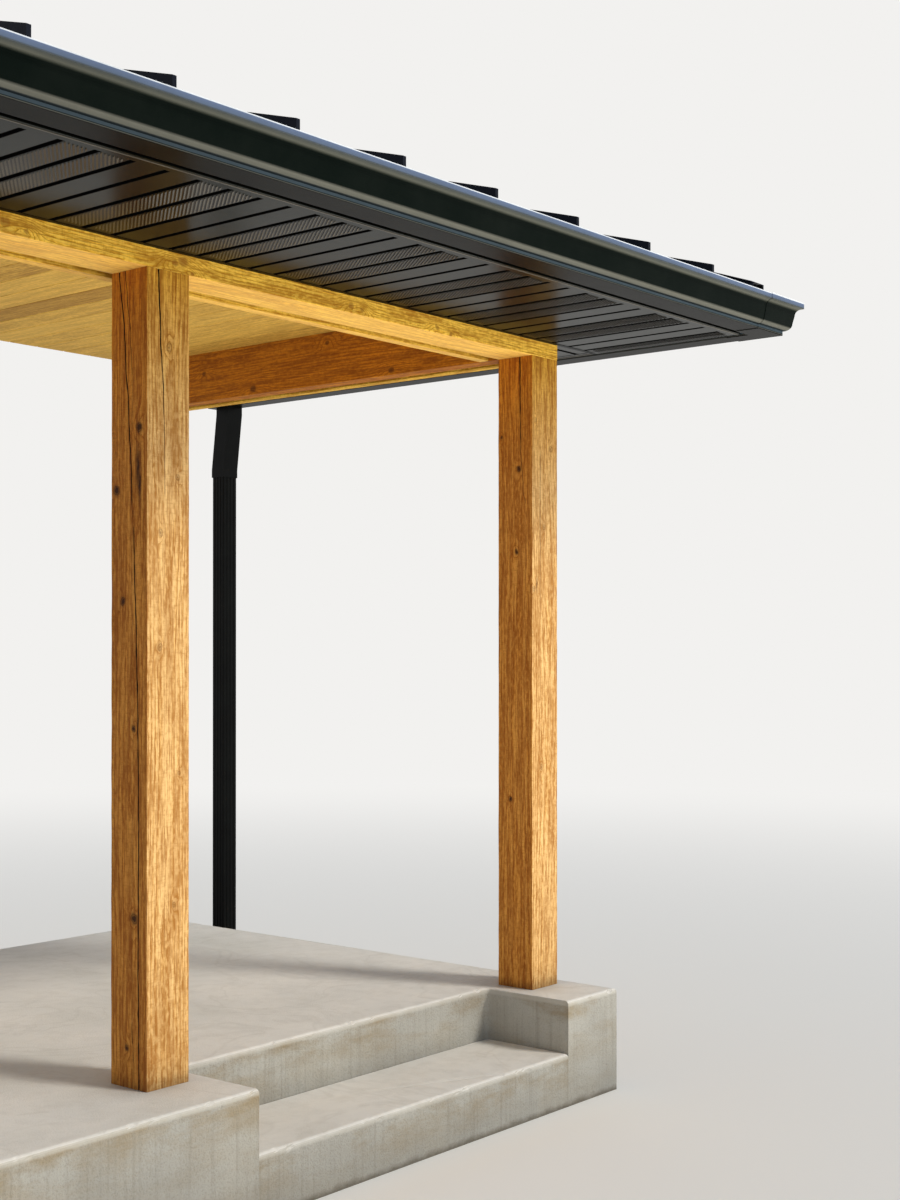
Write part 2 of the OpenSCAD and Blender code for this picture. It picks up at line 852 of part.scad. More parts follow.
// Mitred corner piece that laps the ends of the front gutter and the side gutter
module right_gutter_corner() {
  line = moved(gutter_front_line(), -corner_gap);
  z0 = z_gutter - corner_gap;
  z1 = z_gutter + gutter_back_h;
  d = 2 * gutter_w;
  color("black") {
    intersection() {
      along_front(corner_x, fascia_x + d) sheet_outline(line);
      over_plan([[0, 0], [fascia_x, 0], [fascia_x + d, -d], [0, -d]]);
    }
    intersection() {
      along_right(y_fascia - d, y_corner) sheet_outline(line);
      over_plan([[fascia_x, 0], [fascia_x, far / 2], [fascia_x + d, far / 2], [fascia_x + d, -d]]);
    }
    in_box(corner_x + corner_lap, fascia_x + gutter_t, y_fascia - gutter_t, y_fascia, z0, z1);
    in_box(fascia_x, fascia_x + gutter_t, y_fascia - gutter_t, y_corner - corner_lap, z0, z1);
  }
}

module left_gutter_corner() {
  to_left() right_gutter_corner();
}

// Downspouts

// Section of the fluted pipe, with its faces moved in by a distance
module fluted_outline(inset) {
  w = pipe_w / 2 - inset;
  d = pipe_d / 2 - inset;
  f = flute_w / 2;
  step_w = (pipe_w - 2 * flute_w) / flutes;
  step_d = (pipe_d - 2 * flute_w) / flutes;
  difference() {
    translate([-w, -d]) square([2 * w, 2 * d]);
    for (i = [0 : flutes - 1], side = [-1, 1]) {
      translate([(i - (flutes - 1) / 2) * step_w, side * d])
        polygon([[-f, side], [-f, 0], [-f / 2, -side * flute_d], [f / 2, -side * flute_d], [f, 0], [f, side]]);
      translate([side * w, (i - (flutes - 1) / 2) * step_d])
        polygon([[side, -f], [0, -f], [-side * flute_d, -f / 2], [-side * flute_d, f / 2], [0, f], [side, f]]);
    }
  }
}

module right_downspout() {
  color("black") translate([pipe_x, y_pipe, pipe_foot]) linear_extrude(z_pipe_top - pipe_foot)
    difference() {
      fluted_outline(0);
      fluted_outline(pipe_t);
    }
}

module left_downspout() {
  to_left() right_downspout();
}

// The leaning piece between its two upright sleeves, drawn larger than the straight pipe
module offset_body(grow, extra) {
  d = pipe_d / 2 + grow;
  y_out = y_pipe - offset_y;
  z0 = z_gutter - offset_h - extra;
  z1 = z_gutter - sleeve_h;
  z2 = z_gutter + extra;
  w = pipe_w / 2 + grow;
  translate([pipe_x - w, 0, 0]) rotate([90, 0, 90]) linear_extrude(2 * w)
    polygon([
      [y_pipe - d, z0], [y_pipe + d, z0], [y_pipe + d, z_pipe_top], [y_out + d, z1], [y_out + d, z2],
      [y_out - d, z2], [y_out - d, z1], [y_pipe - d, z_pipe_top]
    ]);
}

module right_offset_pipe() {
  color("black") difference() {
    offset_body(slide_gap + pipe_t, 0);
    offset_body(slide_gap, past);
  }
}

module left_offset_pipe() {
  to_left() right_offset_pipe();
}

porch_slab();
lower_step();
left_post();
middle_post();
right_post();
front_beam();
front_inner_board();
left_side_beam();
right_side_beam();
side_outer_boards();
beam_fillers();
rafter_plate();
wall_ledger();
ceiling_joists();
ceiling_boards();
front_rafters();
left_rafters();
right_rafters();
hip_rafters();
ridge_board();
front_deck();
left_deck();
right_deck();
front_roof_panels();
left_roof_panels();
right_roof_panels();
left_hip_cap();
right_hip_cap();
ridge_cap();
front_fascia();
left_fascia();
right_fascia();
front_soffit();
left_soffit();
right_soffit();
soffit_channels();
front_gutter();
left_gutter();
right_gutter();
left_gutter_corner();
right_gutter_corner();
left_offset_pipe();
right_offset_pipe();
left_downspout();
right_downspout();
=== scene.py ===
"""Looks of a porch canopy: stained timber posts and beams, a boarded ceiling, a black
standing-seam roof with ribbed soffits and ogee gutters, and a concrete stoop.
The solids come packed, and this script gives them their surfaces and finer shapes."""

import math

import bpy
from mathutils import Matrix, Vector, noise


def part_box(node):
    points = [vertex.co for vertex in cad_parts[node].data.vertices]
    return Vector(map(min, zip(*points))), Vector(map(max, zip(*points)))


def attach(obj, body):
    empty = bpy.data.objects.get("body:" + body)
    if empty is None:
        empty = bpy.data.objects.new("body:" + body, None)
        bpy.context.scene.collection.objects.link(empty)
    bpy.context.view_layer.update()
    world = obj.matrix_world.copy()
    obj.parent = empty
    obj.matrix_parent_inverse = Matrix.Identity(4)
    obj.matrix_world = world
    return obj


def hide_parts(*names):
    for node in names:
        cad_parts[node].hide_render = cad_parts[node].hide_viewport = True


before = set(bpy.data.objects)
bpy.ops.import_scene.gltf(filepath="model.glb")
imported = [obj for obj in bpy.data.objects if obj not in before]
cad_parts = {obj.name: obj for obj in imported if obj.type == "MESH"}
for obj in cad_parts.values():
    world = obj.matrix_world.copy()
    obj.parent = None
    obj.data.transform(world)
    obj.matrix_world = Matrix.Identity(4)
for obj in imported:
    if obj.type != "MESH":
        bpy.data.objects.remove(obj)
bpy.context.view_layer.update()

bl_info = {
    "name": "Porch canopy looks",
    "version": (1, 0, 0),
    "blender": (4, 5, 0),
    "location": "View3D > Sidebar > Porch",
    "description": "Surfaces and fine shapes of a timber and metal porch canopy",
    "category": "Object",
}

MM = 0.001
BODY = "root"
SIDES = ("front", "left", "right")
POSTS = ("left_post", "middle_post", "right_post")
FACE_ORDER = ("front", "right", "back", "left")
# A quarter turn in four equal steps
EIGHTHS = [i * math.pi / 8 for i in range(5)]

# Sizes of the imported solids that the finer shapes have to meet
RIB = 103.6 * MM
RIB_FLAT = 86 * MM
RIB_START = -12 * MM
GROOVE_SHOULDER = 9.5 * MM
SOFFIT_STRIP = 36 * MM
CHANNEL = 20 * MM
BOARD = 140 * MM
BOARD_START = 70 * MM

# The photo's camera, in pixels of its 1200 high frame
PHOTO_HEIGHT = 1200
FOCAL_PIXELS = 1652.4
SHIFT_PIXELS = 43.3
SENSOR = 36.0
# Levels at which a colour renders about as it is written, and the lamps' warm white
SKY_STRENGTH = 0.47
SUN_STRENGTH = 1.88
BOUNCE_WATTS = 225
WARM_LIGHT = (1.0, 0.95, 0.86)

MATH = "ShaderNodeMath"
VECTOR_MATH = "ShaderNodeVectorMath"
NOISE = "ShaderNodeTexNoise"
MAPPING = "ShaderNodeMapping"
RAMP = "ShaderNodeValToRGB"
SEPARATE = "ShaderNodeSeparateXYZ"
MAP_RANGE = "ShaderNodeMapRange"


# Small helpers

def linear(hex_colour):
    """An sRGB hex colour as the linear colour that shaders work in."""
    parts = [int(hex_colour[i:i + 2], 16) / 255 for i in (1, 3, 5)]
    return [p / 12.92 if p <= 0.04045 else ((p + 0.055) / 1.055) ** 2.4 for p in parts] + [1.0]


def add_node(tree, kind, sockets=None, **settings):
    """Adds a node, sets its settings, and fills or links its sockets.
    A node given as a value stands for its first output."""
    made = tree.nodes.new(kind)
    for name, value in settings.items():
        setattr(made, name, value)
    for name, value in (sockets or {}).items():
        if isinstance(value, bpy.types.Node):
            value = value.outputs[0]
        if isinstance(value, bpy.types.NodeSocket):
            tree.links.new(value, made.inputs[name])
        else:
            made.inputs[name].default_value = value
    return made


def new_material(name):
    """An empty node material and its tree."""
    made = bpy.data.materials.new(name)
    made.use_nodes = True
    made.node_tree.nodes.clear()
    return made, made.node_tree


def set_ramp(ramp, stops):
    """Gives a colour ramp its stops as (place, hex colour or grey level), and hands it back."""
    line = ramp.color_ramp.elements
    while len(line) < len(stops):
        line.new(0.5)
    for stop, (place, colour) in zip(line, stops):
        stop.position = place
        stop.color = linear(colour) if isinstance(colour, str) else (colour, colour, colour, 1)
    return ramp


def blend_colours(tree, factor, first, second, how="MIX"):
    """One colour over another by a factor; either may be a hex colour."""
    first, second = [linear(c) if isinstance(c, str) else c for c in (first, second)]
    return add_node(tree, "ShaderNodeMix", {0: factor, 6: first, 7: second},
                    data_type="RGBA", blend_type=how).outputs[2]


def lay_tones(tree, colour, layers):
    """Lays tones over a colour in turn, each as (pattern, how much of it shows as stops, tone)."""
    for pattern, stops, tone in layers:
        shown = set_ramp(add_node(tree, RAMP, {"Fac": pattern}), stops)
        colour = blend_colours(tree, shown, colour, tone)
    return colour


def put(name, data):
    """An object for a mesh, lamp or camera, linked to the scene."""
    made = bpy.data.objects.new(name, data)
    bpy.context.scene.collection.objects.link(made)
    return made


def dress(material, *names):
    """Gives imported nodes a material."""
    for name in names:
        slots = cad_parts[name].data.materials
        slots.clear()
        slots.append(material)


# Settings

class ConcreteSettings(bpy.types.PropertyGroup):
    edge_round: bpy.props.FloatProperty(
        name="Edge round", description="Radius of the upper edges of the stoop and step",
        default=15 * MM, min=4 * MM, unit="LENGTH")
    top_tones: bpy.props.StringProperty(
        name="Top tones", description="sRGB hex colours of the trowelled tops, dark to pale",
        default="#D2D2CD #DFDEDA #E8E6E1")
    face_tones: bpy.props.StringProperty(
        name="Face tones", description="sRGB hex colours of the sponged faces, dark to pale",
        default="#999790 #A8A69F #B5B3AB")


class TimberSettings(bpy.types.PropertyGroup):
    ring_gap: bpy.props.FloatProperty(
        name="Ring gap", description="Distance between the growth rings that show",
        default=10 * MM, min=2 * MM, unit="LENGTH")
    check_gape: bpy.props.FloatProperty(
        name="Check gape", description="How wide the open drying checks stand, as a factor",
        default=1.0, min=0.0, max=2.0)
    post_stain: bpy.props.StringProperty(
        name="Post stain", description="sRGB hex colours: early, middle and late wood, knots",
        default="#E8C082 #D4A460 #986222 #321706")
    front_stain: bpy.props.StringProperty(
        name="Front beam stain", description="sRGB hex colours in the post stain's order",
        default="#FFD458 #F2BA38 #A0660E #8A5418")
    side_stain: bpy.props.StringProperty(
        name="Side beam stain", description="sRGB hex colours in the post stain's order",
        default="#D08418 #BC7008 #864806 #3A1A02")
    ceiling_stain: bpy.props.StringProperty(
        name="Ceiling stain", description="sRGB hex colours in the post stain's order",
        default="#F0C45C #DBAA42 #946820 #4A2A0A")


class MetalSettings(bpy.types.PropertyGroup):
    roof_paint: bpy.props.StringProperty(
        name="Roof paint", description="sRGB hex colour of the roof metal", default="#101624")
    soffit_paint: bpy.props.StringProperty(
        name="Soffit paint", description="sRGB hex colour of the soffits", default="#131510")
    gutter_paint: bpy.props.StringProperty(
        name="Gutter paint", description="sRGB hex colour of the gutter's face",
        default="#0A110E")
    pipe_paint: bpy.props.StringProperty(
        name="Pipe paint", description="sRGB hex colour of the downspouts", default="#060707")
    louvre_gap: bpy.props.FloatProperty(
        name="Louvre gap", description="Distance between the rows of soffit louvres",
        default=15 * MM, min=8 * MM, unit="LENGTH")


class StageSettings(bpy.types.PropertyGroup):
    floor_reach: bpy.props.FloatProperty(
        name="Floor reach", description="Half the side of the floor",
        default=60.0, min=5.0, unit="LENGTH")
    floor_colour: bpy.props.StringProperty(
        name="Floor colour", description="sRGB hex colour of the floor", default="#EEEDEB")
    backdrop_colour: bpy.props.StringProperty(
        name="Backdrop colour", description="sRGB hex colour of the backdrop", default="#F2F1EF")


# Places on the timbers, in millimetres: along the timber from its low end, face, across the
# face from its low corner, radius. Faces are named by the way they look.
POST_KNOTS = {
    "middle_post": (
        (1890, "left", 34, 10), (1714, "left", 136, 10), (1395, "left", 106, 9),
        (486, "left", 56, 11), (115, "left", 88, 7), (1030, "left", 58, 7),
        (2124, "front", 81, 9), (1752, "front", 114, 6), (1590, "front", 52, 6),
        (1263, "front", 48, 6), (520, "front", 101, 6), (900, "front", 120, 4)),
    "right_post": (
        (1928, "left", 62, 8), (2050, "left", 142, 4), (1621, "left", 72, 7),
        (700, "left", 100, 6), (2107, "front", 23, 5), (2008, "front", 117, 7),
        (1712, "front", 74, 8), (1480, "front", 11, 7), (820, "front", 60, 6)),
    "left_post": (
        (1840, "right", 70, 9), (1220, "right", 110, 6), (540, "right", 40, 7),
        (2010, "front", 50, 8), (1430, "front", 120, 6), (760, "front", 80, 6),
        (1650, "left", 60, 8), (380, "left", 100, 6)),
}
# Dark streaks, as knots drawn out along the grain; the last number is how many times
STREAKS = {
    "middle_post": ((1775, "left", 40, 11, 6.0), (1730, "left", 34, 8, 7.0)),
    "right_post": ((1500, "front", 30, 3, 8.0),),
    "left_post": (),
}
# Checks run down a line of (height, place across the face), and end with width and depth
POST_CHECKS = {
    "middle_post": (
        ("left", (2345, 122), (2161, 100), (2069, 94), (1964, 83), (1756, 70), (1512, 56),
         (1283, 47), (1059, 40), (725, 36), (400, 38), (0, 35), 4.4, 26),
        ("left", (2345, 97), (2270, 88), (2158, 73), (2020, 66), (1900, 62), 2.4, 10),
        ("left", (190, 66), (80, 60), (0, 62), 3.0, 12),
        ("front", (2345, 42), (2270, 45), (2156, 50), (1986, 61), (1871, 64), (1700, 66), 5.5, 30)),
    "right_post": (
        ("left", (2345, 57), (2184, 56), (2010, 54), (1848, 42), (1790, 30), 5.5, 26),
        ("front", (2000, 52), (1760, 50), (1400, 54), 1.6, 8)),
    "left_post": (
        ("right", (2345, 70), (1700, 84), (900, 96), 4.5, 24),
        ("front", (1500, 100), (800, 92), (0, 88), 3.0, 18)),
}
# Knots on the front beam: along from the middle, up from the low edge, radius; on the side
# beams: back from the post fronts, up from the low edge, radius
FRONT_BEAM_KNOTS = (
    (-1604, 22, 12), (-1130, 34, 8), (-558, 29, 13), (-492, 18, 7), (24, 30, 9), (55, 38, 14),
    (89, 6, 6), (770, 26, 10), (822, 18, 7), (1204, 20, 9), (1279, 8, 7))
SIDE_BEAM_KNOTS = ((1481, 23, 14), (696, 19, 12), (1046, 168, 10), (1790, 120, 9))
# Kinds of knot: how much of its tone shows from rim to middle, how far along and across the
# rings bend round it as shares of its radius, and by how many rings
RINGED_KNOT = ([(0.0, 0.0), (0.16, 0.1), (0.3, 0.55), (0.42, 0.2), (0.8, 0.2), (0.97, 0.6)],
               4.0, 2.2, 2.0)
SPIKE_KNOT = ([(0.0, 0.0), (0.2, 0.0), (0.45, 0.5), (0.8, 0.65)], 5.5, 3.4, 3.0)
BLACK_KNOT = ([(0.0, 0.0), (0.2, 0.35), (0.34, 0.8), (0.5, 0.6), (0.7, 0.95)], 4.0, 2.2, 1.6)


# Materials

def stretch(axis, along, across):
    """Three numbers: one along an axis, and another across it."""
    return tuple(along if name == axis else across for name in "XYZ")


def fresh_place(tree):
    """Place on the object in metres, the same for every piece."""
    return add_node(tree, "ShaderNodeTexCoord").outputs["Object"]


def turned(tree, axis, sign, stops):
    """How far a surface faces along an axis, or against it, through a ramp's stops."""
    facing = add_node(tree, SEPARATE, {
        0: add_node(tree, "ShaderNodeTexCoord").outputs["Normal"]})
    share = add_node(tree, MATH, {0: facing.outputs[axis], 1: sign}, operation="MULTIPLY")
    return set_ramp(add_node(tree, RAMP, {"Fac": share}), stops)


def seen_directly(tree):
    """One for what the camera sees, also in gloss or through glass, and none for the light."""
    path = add_node(tree, "ShaderNodeLightPath")
    return greatest(tree, [path.outputs[ray] for ray in (
        "Is Camera Ray", "Is Glossy Ray", "Is Transmission Ray")])


def spot(tree, place, centre, spread):
    """One at a point, falling smoothly to nothing over a spread given for each axis."""
    away = add_node(tree, VECTOR_MATH, {0: place, 1: centre}, operation="SUBTRACT")
    away = add_node(tree, VECTOR_MATH, {0: away, 1: spread}, operation="DIVIDE")
    far = add_node(tree, VECTOR_MATH, {0: away, 1: away}, operation="DOT_PRODUCT")
    lower = add_node(tree, MATH, {0: far.outputs["Value"], 1: -1.0}, operation="MULTIPLY")
    return add_node(tree, MATH, {0: lower}, operation="EXPONENT")


def greatest(tree, parts):
    """The greatest of several numbers at each place."""
    top = parts[0]
    for part in parts[1:]:
        top = add_node(tree, MATH, {0: top, 1: part}, operation="MAXIMUM")
    return top


def add_up(tree, total, parts):
    """Adds patterns to a number, each times its weight."""
    for pattern, weight in parts:
        total = add_node(tree, MATH, {0: pattern, 1: weight, 2: total}, operation="MULTIPLY_ADD")
    return total


def damp_edge(tree, pattern, height, full, dry, strength):
    """Damp that has risen to a ragged line: full up to one height, and gone over another."""
    ragged = add_up(tree, height, [(pattern, 40 * MM)])
    return add_node(tree, MAP_RANGE, {
        "Value": ragged, "From Min": full, "From Max": dry, "To Min": strength, "To Max": 0.0})


def finish_surface(tree, colour, height, strength, depth, roughness, gloss):
    """Ends a material with bumps of a depth in metres and a plain shader over them."""
    bump = add_node(tree, "ShaderNodeBump", {
        "Height": height, "Strength": strength, "Distance": depth})
    shader = add_node(tree, "ShaderNodeBsdfPrincipled", {
        "Base Color": colour, "Normal": bump, "Roughness": roughness, "IOR": 1.5,
        "Specular IOR Level": gloss})
    add_node(tree, "ShaderNodeOutputMaterial", {"Surface": shader})


def sawn_timber(name, axis, pith, tones, ring_gap, pale_knots=(), dark_knots=(), streaks=(),
                eye=RINGED_KNOT, boards=False, foot=None, head=None, painted_bounce=None):
    """Fir, band-sawn and stained: growth rings cut to arches and lines, small knots that the
    rings bend round, rough saw marks across the grain, and stain that gathers in late wood.
    The checks are dark with painted shade and some stain, posts may take painted shade under
    their heads and on their sides, and beams a painted glow of bounced light underneath.
    The rings are drawn about three times as far apart as real ones, so that they show."""
    light, mid, dark, knot_tone = tones.split()
    made, tree = new_material(name)
    place = fresh_place(tree)
    parts = add_node(tree, SEPARATE, {0: place})
    # Repeats in a metre along and across the grain: slow drift over 1400 by 200 mm, ripples of
    # 170 by 17 mm, threads of 125 by 6 mm, saw marks 5 mm apart, torn flecks of 22 by 8 mm
    slow, quick, fine, sawn, torn = [
        add_node(tree, MAPPING, {"Vector": place, "Scale": stretch(axis, along, across)})
        for along, across in ((0.7, 5.0), (6.0, 60.0), (8.0, 170.0), (200.0, 40.0), (45.0, 120.0))]
    wander, ripple, teeth, threads, bands, clouds, marks = [
        add_node(tree, NOISE, {"Vector": where, "Scale": scale, "Detail": detail})
        for where, scale, detail in (
            (slow, 1.0, 2.0), (quick, 1.0, 3.0), (torn, 1.0, 2.0), (fine, 1.0, 2.0),
            (quick, 0.6, 3.0), (slow, 2.2, 4.0), (sawn, 1.0, 3.0))]

    # How far the pith strays and the edges of the knots fray
    sway, fray = 60 * MM, 14 * MM
    shift = add_node(tree, VECTOR_MATH, {
        0: wander.outputs["Color"], 1: (sway,) * 3, 2: tuple(-sway / 2 - p for p in pith)},
        operation="MULTIPLY_ADD")
    across = add_node(tree, VECTOR_MATH, {0: place, 1: shift}, operation="ADD")
    across = add_node(tree, VECTOR_MATH, {0: across, 1: stretch(axis, 0.0, 1.0)},
                      operation="MULTIPLY")
    radius = add_node(tree, VECTOR_MATH, {0: across}, operation="LENGTH").outputs["Value"]
    rings = add_node(tree, MATH, {0: radius, 1: ring_gap}, operation="DIVIDE")
    bends = [(ripple, 1.1), (teeth, 0.5)]
    if boards:
        count = add_up(tree, -BOARD_START / BOARD, [(parts.outputs["X"], 1 / BOARD)])
        count = add_node(tree, MATH, {0: count}, operation="FLOOR")
        plank = add_node(tree, "ShaderNodeTexWhiteNoise", {"W": count}, noise_dimensions="1D")
        bends.append((plank, 9.0))
    for knots, (stops, reach, width, bend) in ((pale_knots, eye), (dark_knots, BLACK_KNOT)):
        bends += [(spot(tree, place, centre, stretch(axis, reach * size, width * size)), bend)
                  for centre, size in knots]

    year = add_node(tree, MATH, {0: add_up(tree, rings, bends)}, operation="FRACT")
    grain = set_ramp(add_node(tree, RAMP, {"Fac": year}), [
        (0.0, light), (0.4, light), (0.72, mid), (0.87, dark), (0.94, dark), (1.0, light)])
    layers = [(clouds, [(0.45, 0.0), (0.7, 0.4)], light),
              (bands, [(0.44, 0.0), (0.66, 0.6)], dark),
              (threads, [(0.46, 0.0), (0.66, 0.75)], dark),
              (marks, [(0.5, 0.0), (0.7, 0.3)], dark),
              (teeth, [(0.5, 0.0), (0.68, 0.38)], dark),
              (teeth, [(0.32, 0.36), (0.48, 0.0)], light)]
    if boards:
        layers += [(plank, [(0.0, 0.0), (1.0, 0.5)], light),
                   (plank, [(0.0, 0.5), (0.3, 0.0)], dark)]
    colour = lay_tones(tree, blend_colours(tree, 0.28, grain, mid), layers)
    if head:
        # Painted shade: the fronts turn a deeper gold over the 500 mm below the head, as in the
        # eaves' shadow, and faces turned from the front are darker and more orange
        eave_shade = add_node(tree, MAP_RANGE, {
            "Value": parts.outputs["Z"], "From Min": head - 500 * MM, "From Max": head})
        colour = blend_colours(tree, eave_shade, colour, "#F2DE76", "MULTIPLY")
        side_shade = turned(tree, "Y", -1.0, [(0.3, 1.0), (0.8, 0.0)])
        colour = blend_colours(tree, side_shade, colour, "#F2D090", "MULTIPLY")
    # Painted bounce light: undersides blend towards a paler, warmer tone
    if painted_bounce:
        colour = blend_colours(
            tree, turned(tree, "Z", -1.0, [(0.4, 0.0), (0.8, 0.45)]), colour, painted_bounce)

    lump = add_node(tree, NOISE, {"Vector": place, "Scale": 45.0, "Detail": 2.0})
    loose = add_node(tree, VECTOR_MATH, {
        0: lump.outputs["Color"], 1: (fray,) * 3, 2: (-fray / 2,) * 3},
        operation="MULTIPLY_ADD")
    loose = add_node(tree, VECTOR_MATH, {0: loose, 1: place}, operation="ADD")
    for knots, (stops, *_) in ((pale_knots, eye), (dark_knots, BLACK_KNOT)):
        if knots:
            cores = [spot(tree, loose, centre, stretch(axis, 1.2 * size, size))
                     for centre, size in knots]
            colour = lay_tones(tree, colour, [(greatest(tree, cores), stops, knot_tone)])
    if streaks:
        runs = [spot(tree, loose, centre, stretch(axis, size * run, size))
                for centre, size, run in streaks]
        colour = blend_colours(tree, greatest(tree, runs), colour, knot_tone)
    if foot:
        damp = damp_edge(
            tree, ripple, parts.outputs["Z"], foot + 22 * MM, foot + 55 * MM, 0.35)
        colour = blend_colours(tree, damp, colour, knot_tone)
    # Painted shade in the open checks, with stain at their lips: their points darken towards a deep
    # brown
    hollow = add_node(tree, "ShaderNodeAttribute", attribute_name="hollow").outputs["Fac"]
    colour = blend_colours(tree, hollow, colour, "#1E0E05")

    coarse = add_node(tree, NOISE, {"Vector": place, "Scale": 240.0, "Detail": 3.0})
    height = add_up(tree, coarse, [(marks, 0.9), (threads, 0.9)])
    finish_surface(tree, colour, height, 0.6, 1.6 * MM, 0.75, 0.25)
    return made


def painted_sheet(name, paint, dust, roughness, gloss, grooves=None):
    """Baked enamel on thin sheet metal: even dark paint with a soft gloss and a thin film of
    dust. In place of one paint, bands over a base height give each height its tone: painted
    reflections and highlights along the folds of a gutter, or painted shade inside a groove.
    Grooves across a run of ribs also get painted shade on their shoulders, near black, matte
    and free of dust, out to a reach at each side."""
    made, tree = new_material(name)
    place = fresh_place(tree)
    parts = add_node(tree, SEPARATE, {0: place})
    # Dust in clouds 200 mm wide, sheet that waves over 110 mm, and the paint's grit drawn
    # 1 mm wide, coarser than real
    film = add_node(tree, NOISE, {"Vector": place, "Scale": 5.0, "Detail": 6.0, "Roughness": 0.65})
    film = set_ramp(add_node(tree, RAMP, {"Fac": film}), [(0.42, 0.0), (0.78, 0.8)])
    if not isinstance(paint, str):
        base, height, bands = paint
        share = add_node(tree, MAP_RANGE, {
            "Value": parts.outputs["Z"], "From Min": base, "From Max": base + height})
        paint = set_ramp(add_node(tree, RAMP, {"Fac": share}), [
            (z * MM / height, tone) for z, tone in bands])
        film = add_node(tree, MATH, {0: film, 1: 0.25}, operation="MULTIPLY")
    colour = blend_colours(tree, film, paint, dust)
    if grooves:
        run, first, side, reach = grooves
        turn = add_up(tree, 0.5 - first / RIB, [(parts.outputs[run], 1 / RIB)])
        turn = add_node(tree, MATH, {0: turn}, operation="FRACT")
        # Painted shade: the flat shoulders beside each groove turn near black and matte, widening
        # its dark
        rim, soft = GROOVE_SHOULDER / RIB, 0.012
        near = set_ramp(add_node(tree, RAMP, {"Fac": turn}), [
            (0.5 - rim - soft, 0.0), (0.5 - rim, 1.0), (0.5 + rim, 1.0), (0.5 + rim + soft, 0.0)])
        out = add_node(tree, MATH, {0: parts.outputs[side]}, operation="ABSOLUTE")
        inside = add_node(tree, MATH, {0: out, 1: reach}, operation="LESS_THAN")
        near = add_node(tree, MATH, {0: near, 1: inside}, operation="MULTIPLY")
        colour = blend_colours(tree, near, colour, "#030303")
        roughness = add_node(tree, MAP_RANGE, {"Value": near, "To Min": roughness, "To Max": 0.9})
    grit = add_node(tree, NOISE, {"Vector": place, "Scale": 900.0, "Detail": 2.0})
    ripple = add_node(tree, NOISE, {"Vector": place, "Scale": 9.0, "Detail": 2.0})
    height = add_up(tree, grit, [(ripple, 8.0)])
    finish_surface(tree, colour, height, 0.25, 0.25 * MM, roughness, gloss)
    return made


def cast_concrete(name, settings, top, feet=()):
    """Cast concrete, steel-trowelled on top and sponged on its faces: pale and smooth with
    faint trowel arcs above, sandy with fine pits, tan stains and runs below. The faces' tones
    are darker than the tops', partly as painted shade."""
    made, tree = new_material(name)
    place = fresh_place(tree)
    level = add_node(tree, SEPARATE, {0: place}).outputs["Z"]
    # Drips 12 mm wide and 450 mm long, and blotches of 290 by 110 mm
    drips, blotches = [add_node(tree, MAPPING, {"Vector": place, "Scale": scale})
                       for scale in ((85.0, 85.0, 2.2), (3.4, 3.4, 9.0))]
    # Clouds 600 mm wide, mottle of 70 mm, arcs 450 mm long, pits of 6 mm and sand of 2 mm
    clouds, mottle, arcs, pebble, sand, runs, stains = [
        add_node(tree, NOISE, {"Vector": where, "Scale": scale, "Detail": detail,
                               "Roughness": rough, "Distortion": swirl})
        for where, scale, detail, rough, swirl in (
            (place, 1.7, 7.0, 0.62, 0.0), (place, 14.0, 6.0, 0.7, 0.0), (place, 2.2, 3.0, 0.5, 1.4),
            (place, 170.0, 3.0, 0.6, 0.0), (place, 420.0, 2.0, 0.5, 0.0),
            (drips, 1.0, 4.0, 0.5, 0.0), (blotches, 1.0, 7.0, 0.65, 0.0))]
    # Tones for the tops and the faces; the faces are darker, partly as painted shade
    flat, face = [set_ramp(add_node(tree, RAMP, {"Fac": clouds}),
                           list(zip((0.3, 0.5, 0.7), tones.split())))
                  for tones in (settings.top_tones, settings.face_tones)]
    flat = lay_tones(tree, flat, [
        (mottle, [(0.45, 0.0), (0.75, 0.3)], "#B7B4AC"),
        (arcs, [(0.49, 0.0), (0.52, 0.12), (0.55, 0.0)], "#9C968A")])

    below = add_node(tree, MATH, {0: top, 1: level}, operation="SUBTRACT")
    band = add_node(tree, MAP_RANGE, {
        "Value": below, "From Min": 30 * MM, "From Max": 150 * MM, "To Min": 1.0, "To Max": 0.3})
    stained = set_ramp(add_node(tree, RAMP, {"Fac": stains}), [(0.43, 0.0), (0.64, 0.8)])
    stained = add_node(tree, MATH, {0: stained, 1: band}, operation="MULTIPLY")
    face = blend_colours(tree, stained, face, "#8F7D5C")
    face = lay_tones(tree, face, [(runs, [(0.5, 0.0), (0.78, 0.35)], "#7C776B"),
                                  (pebble, [(0.36, 0.22), (0.5, 0.0)], "#77715F")])
    face = blend_colours(
        tree, damp_edge(tree, mottle, level, 24 * MM, 44 * MM, 0.7), face, "#544B3C")
    nosing = add_node(tree, MAP_RANGE, {
        "Value": below, "From Min": settings.edge_round - MM,
        "From Max": settings.edge_round + 7 * MM, "To Min": 0.5, "To Max": 0.0})
    face = blend_colours(tree, nosing, face, "#C8C5BD")
    up = turned(tree, "Z", 1.0, [(0.35, 0.0), (0.8, 1.0)])
    colour = blend_colours(tree, up, face, flat)
    if feet:
        rings = [spot(tree, place, centre, (120 * MM, 120 * MM, 20 * MM)) for centre in feet]
        ring = add_node(tree, MATH, {0: greatest(tree, rings), 1: stains}, operation="MULTIPLY")
        colour = blend_colours(tree, ring, colour, "#6B6152")

    rough_side = add_up(tree, 1.0, [(up, -1.0), (nosing, -1.0)])
    grains = add_node(tree, MATH, {0: pebble, 1: rough_side}, operation="MULTIPLY")
    height = add_up(tree, sand, [(grains, 5.0), (mottle, 1.5)])
    finish_surface(tree, colour, height, 0.6, 1.2 * MM, 0.85, 0.3)
    return made


# Shapes

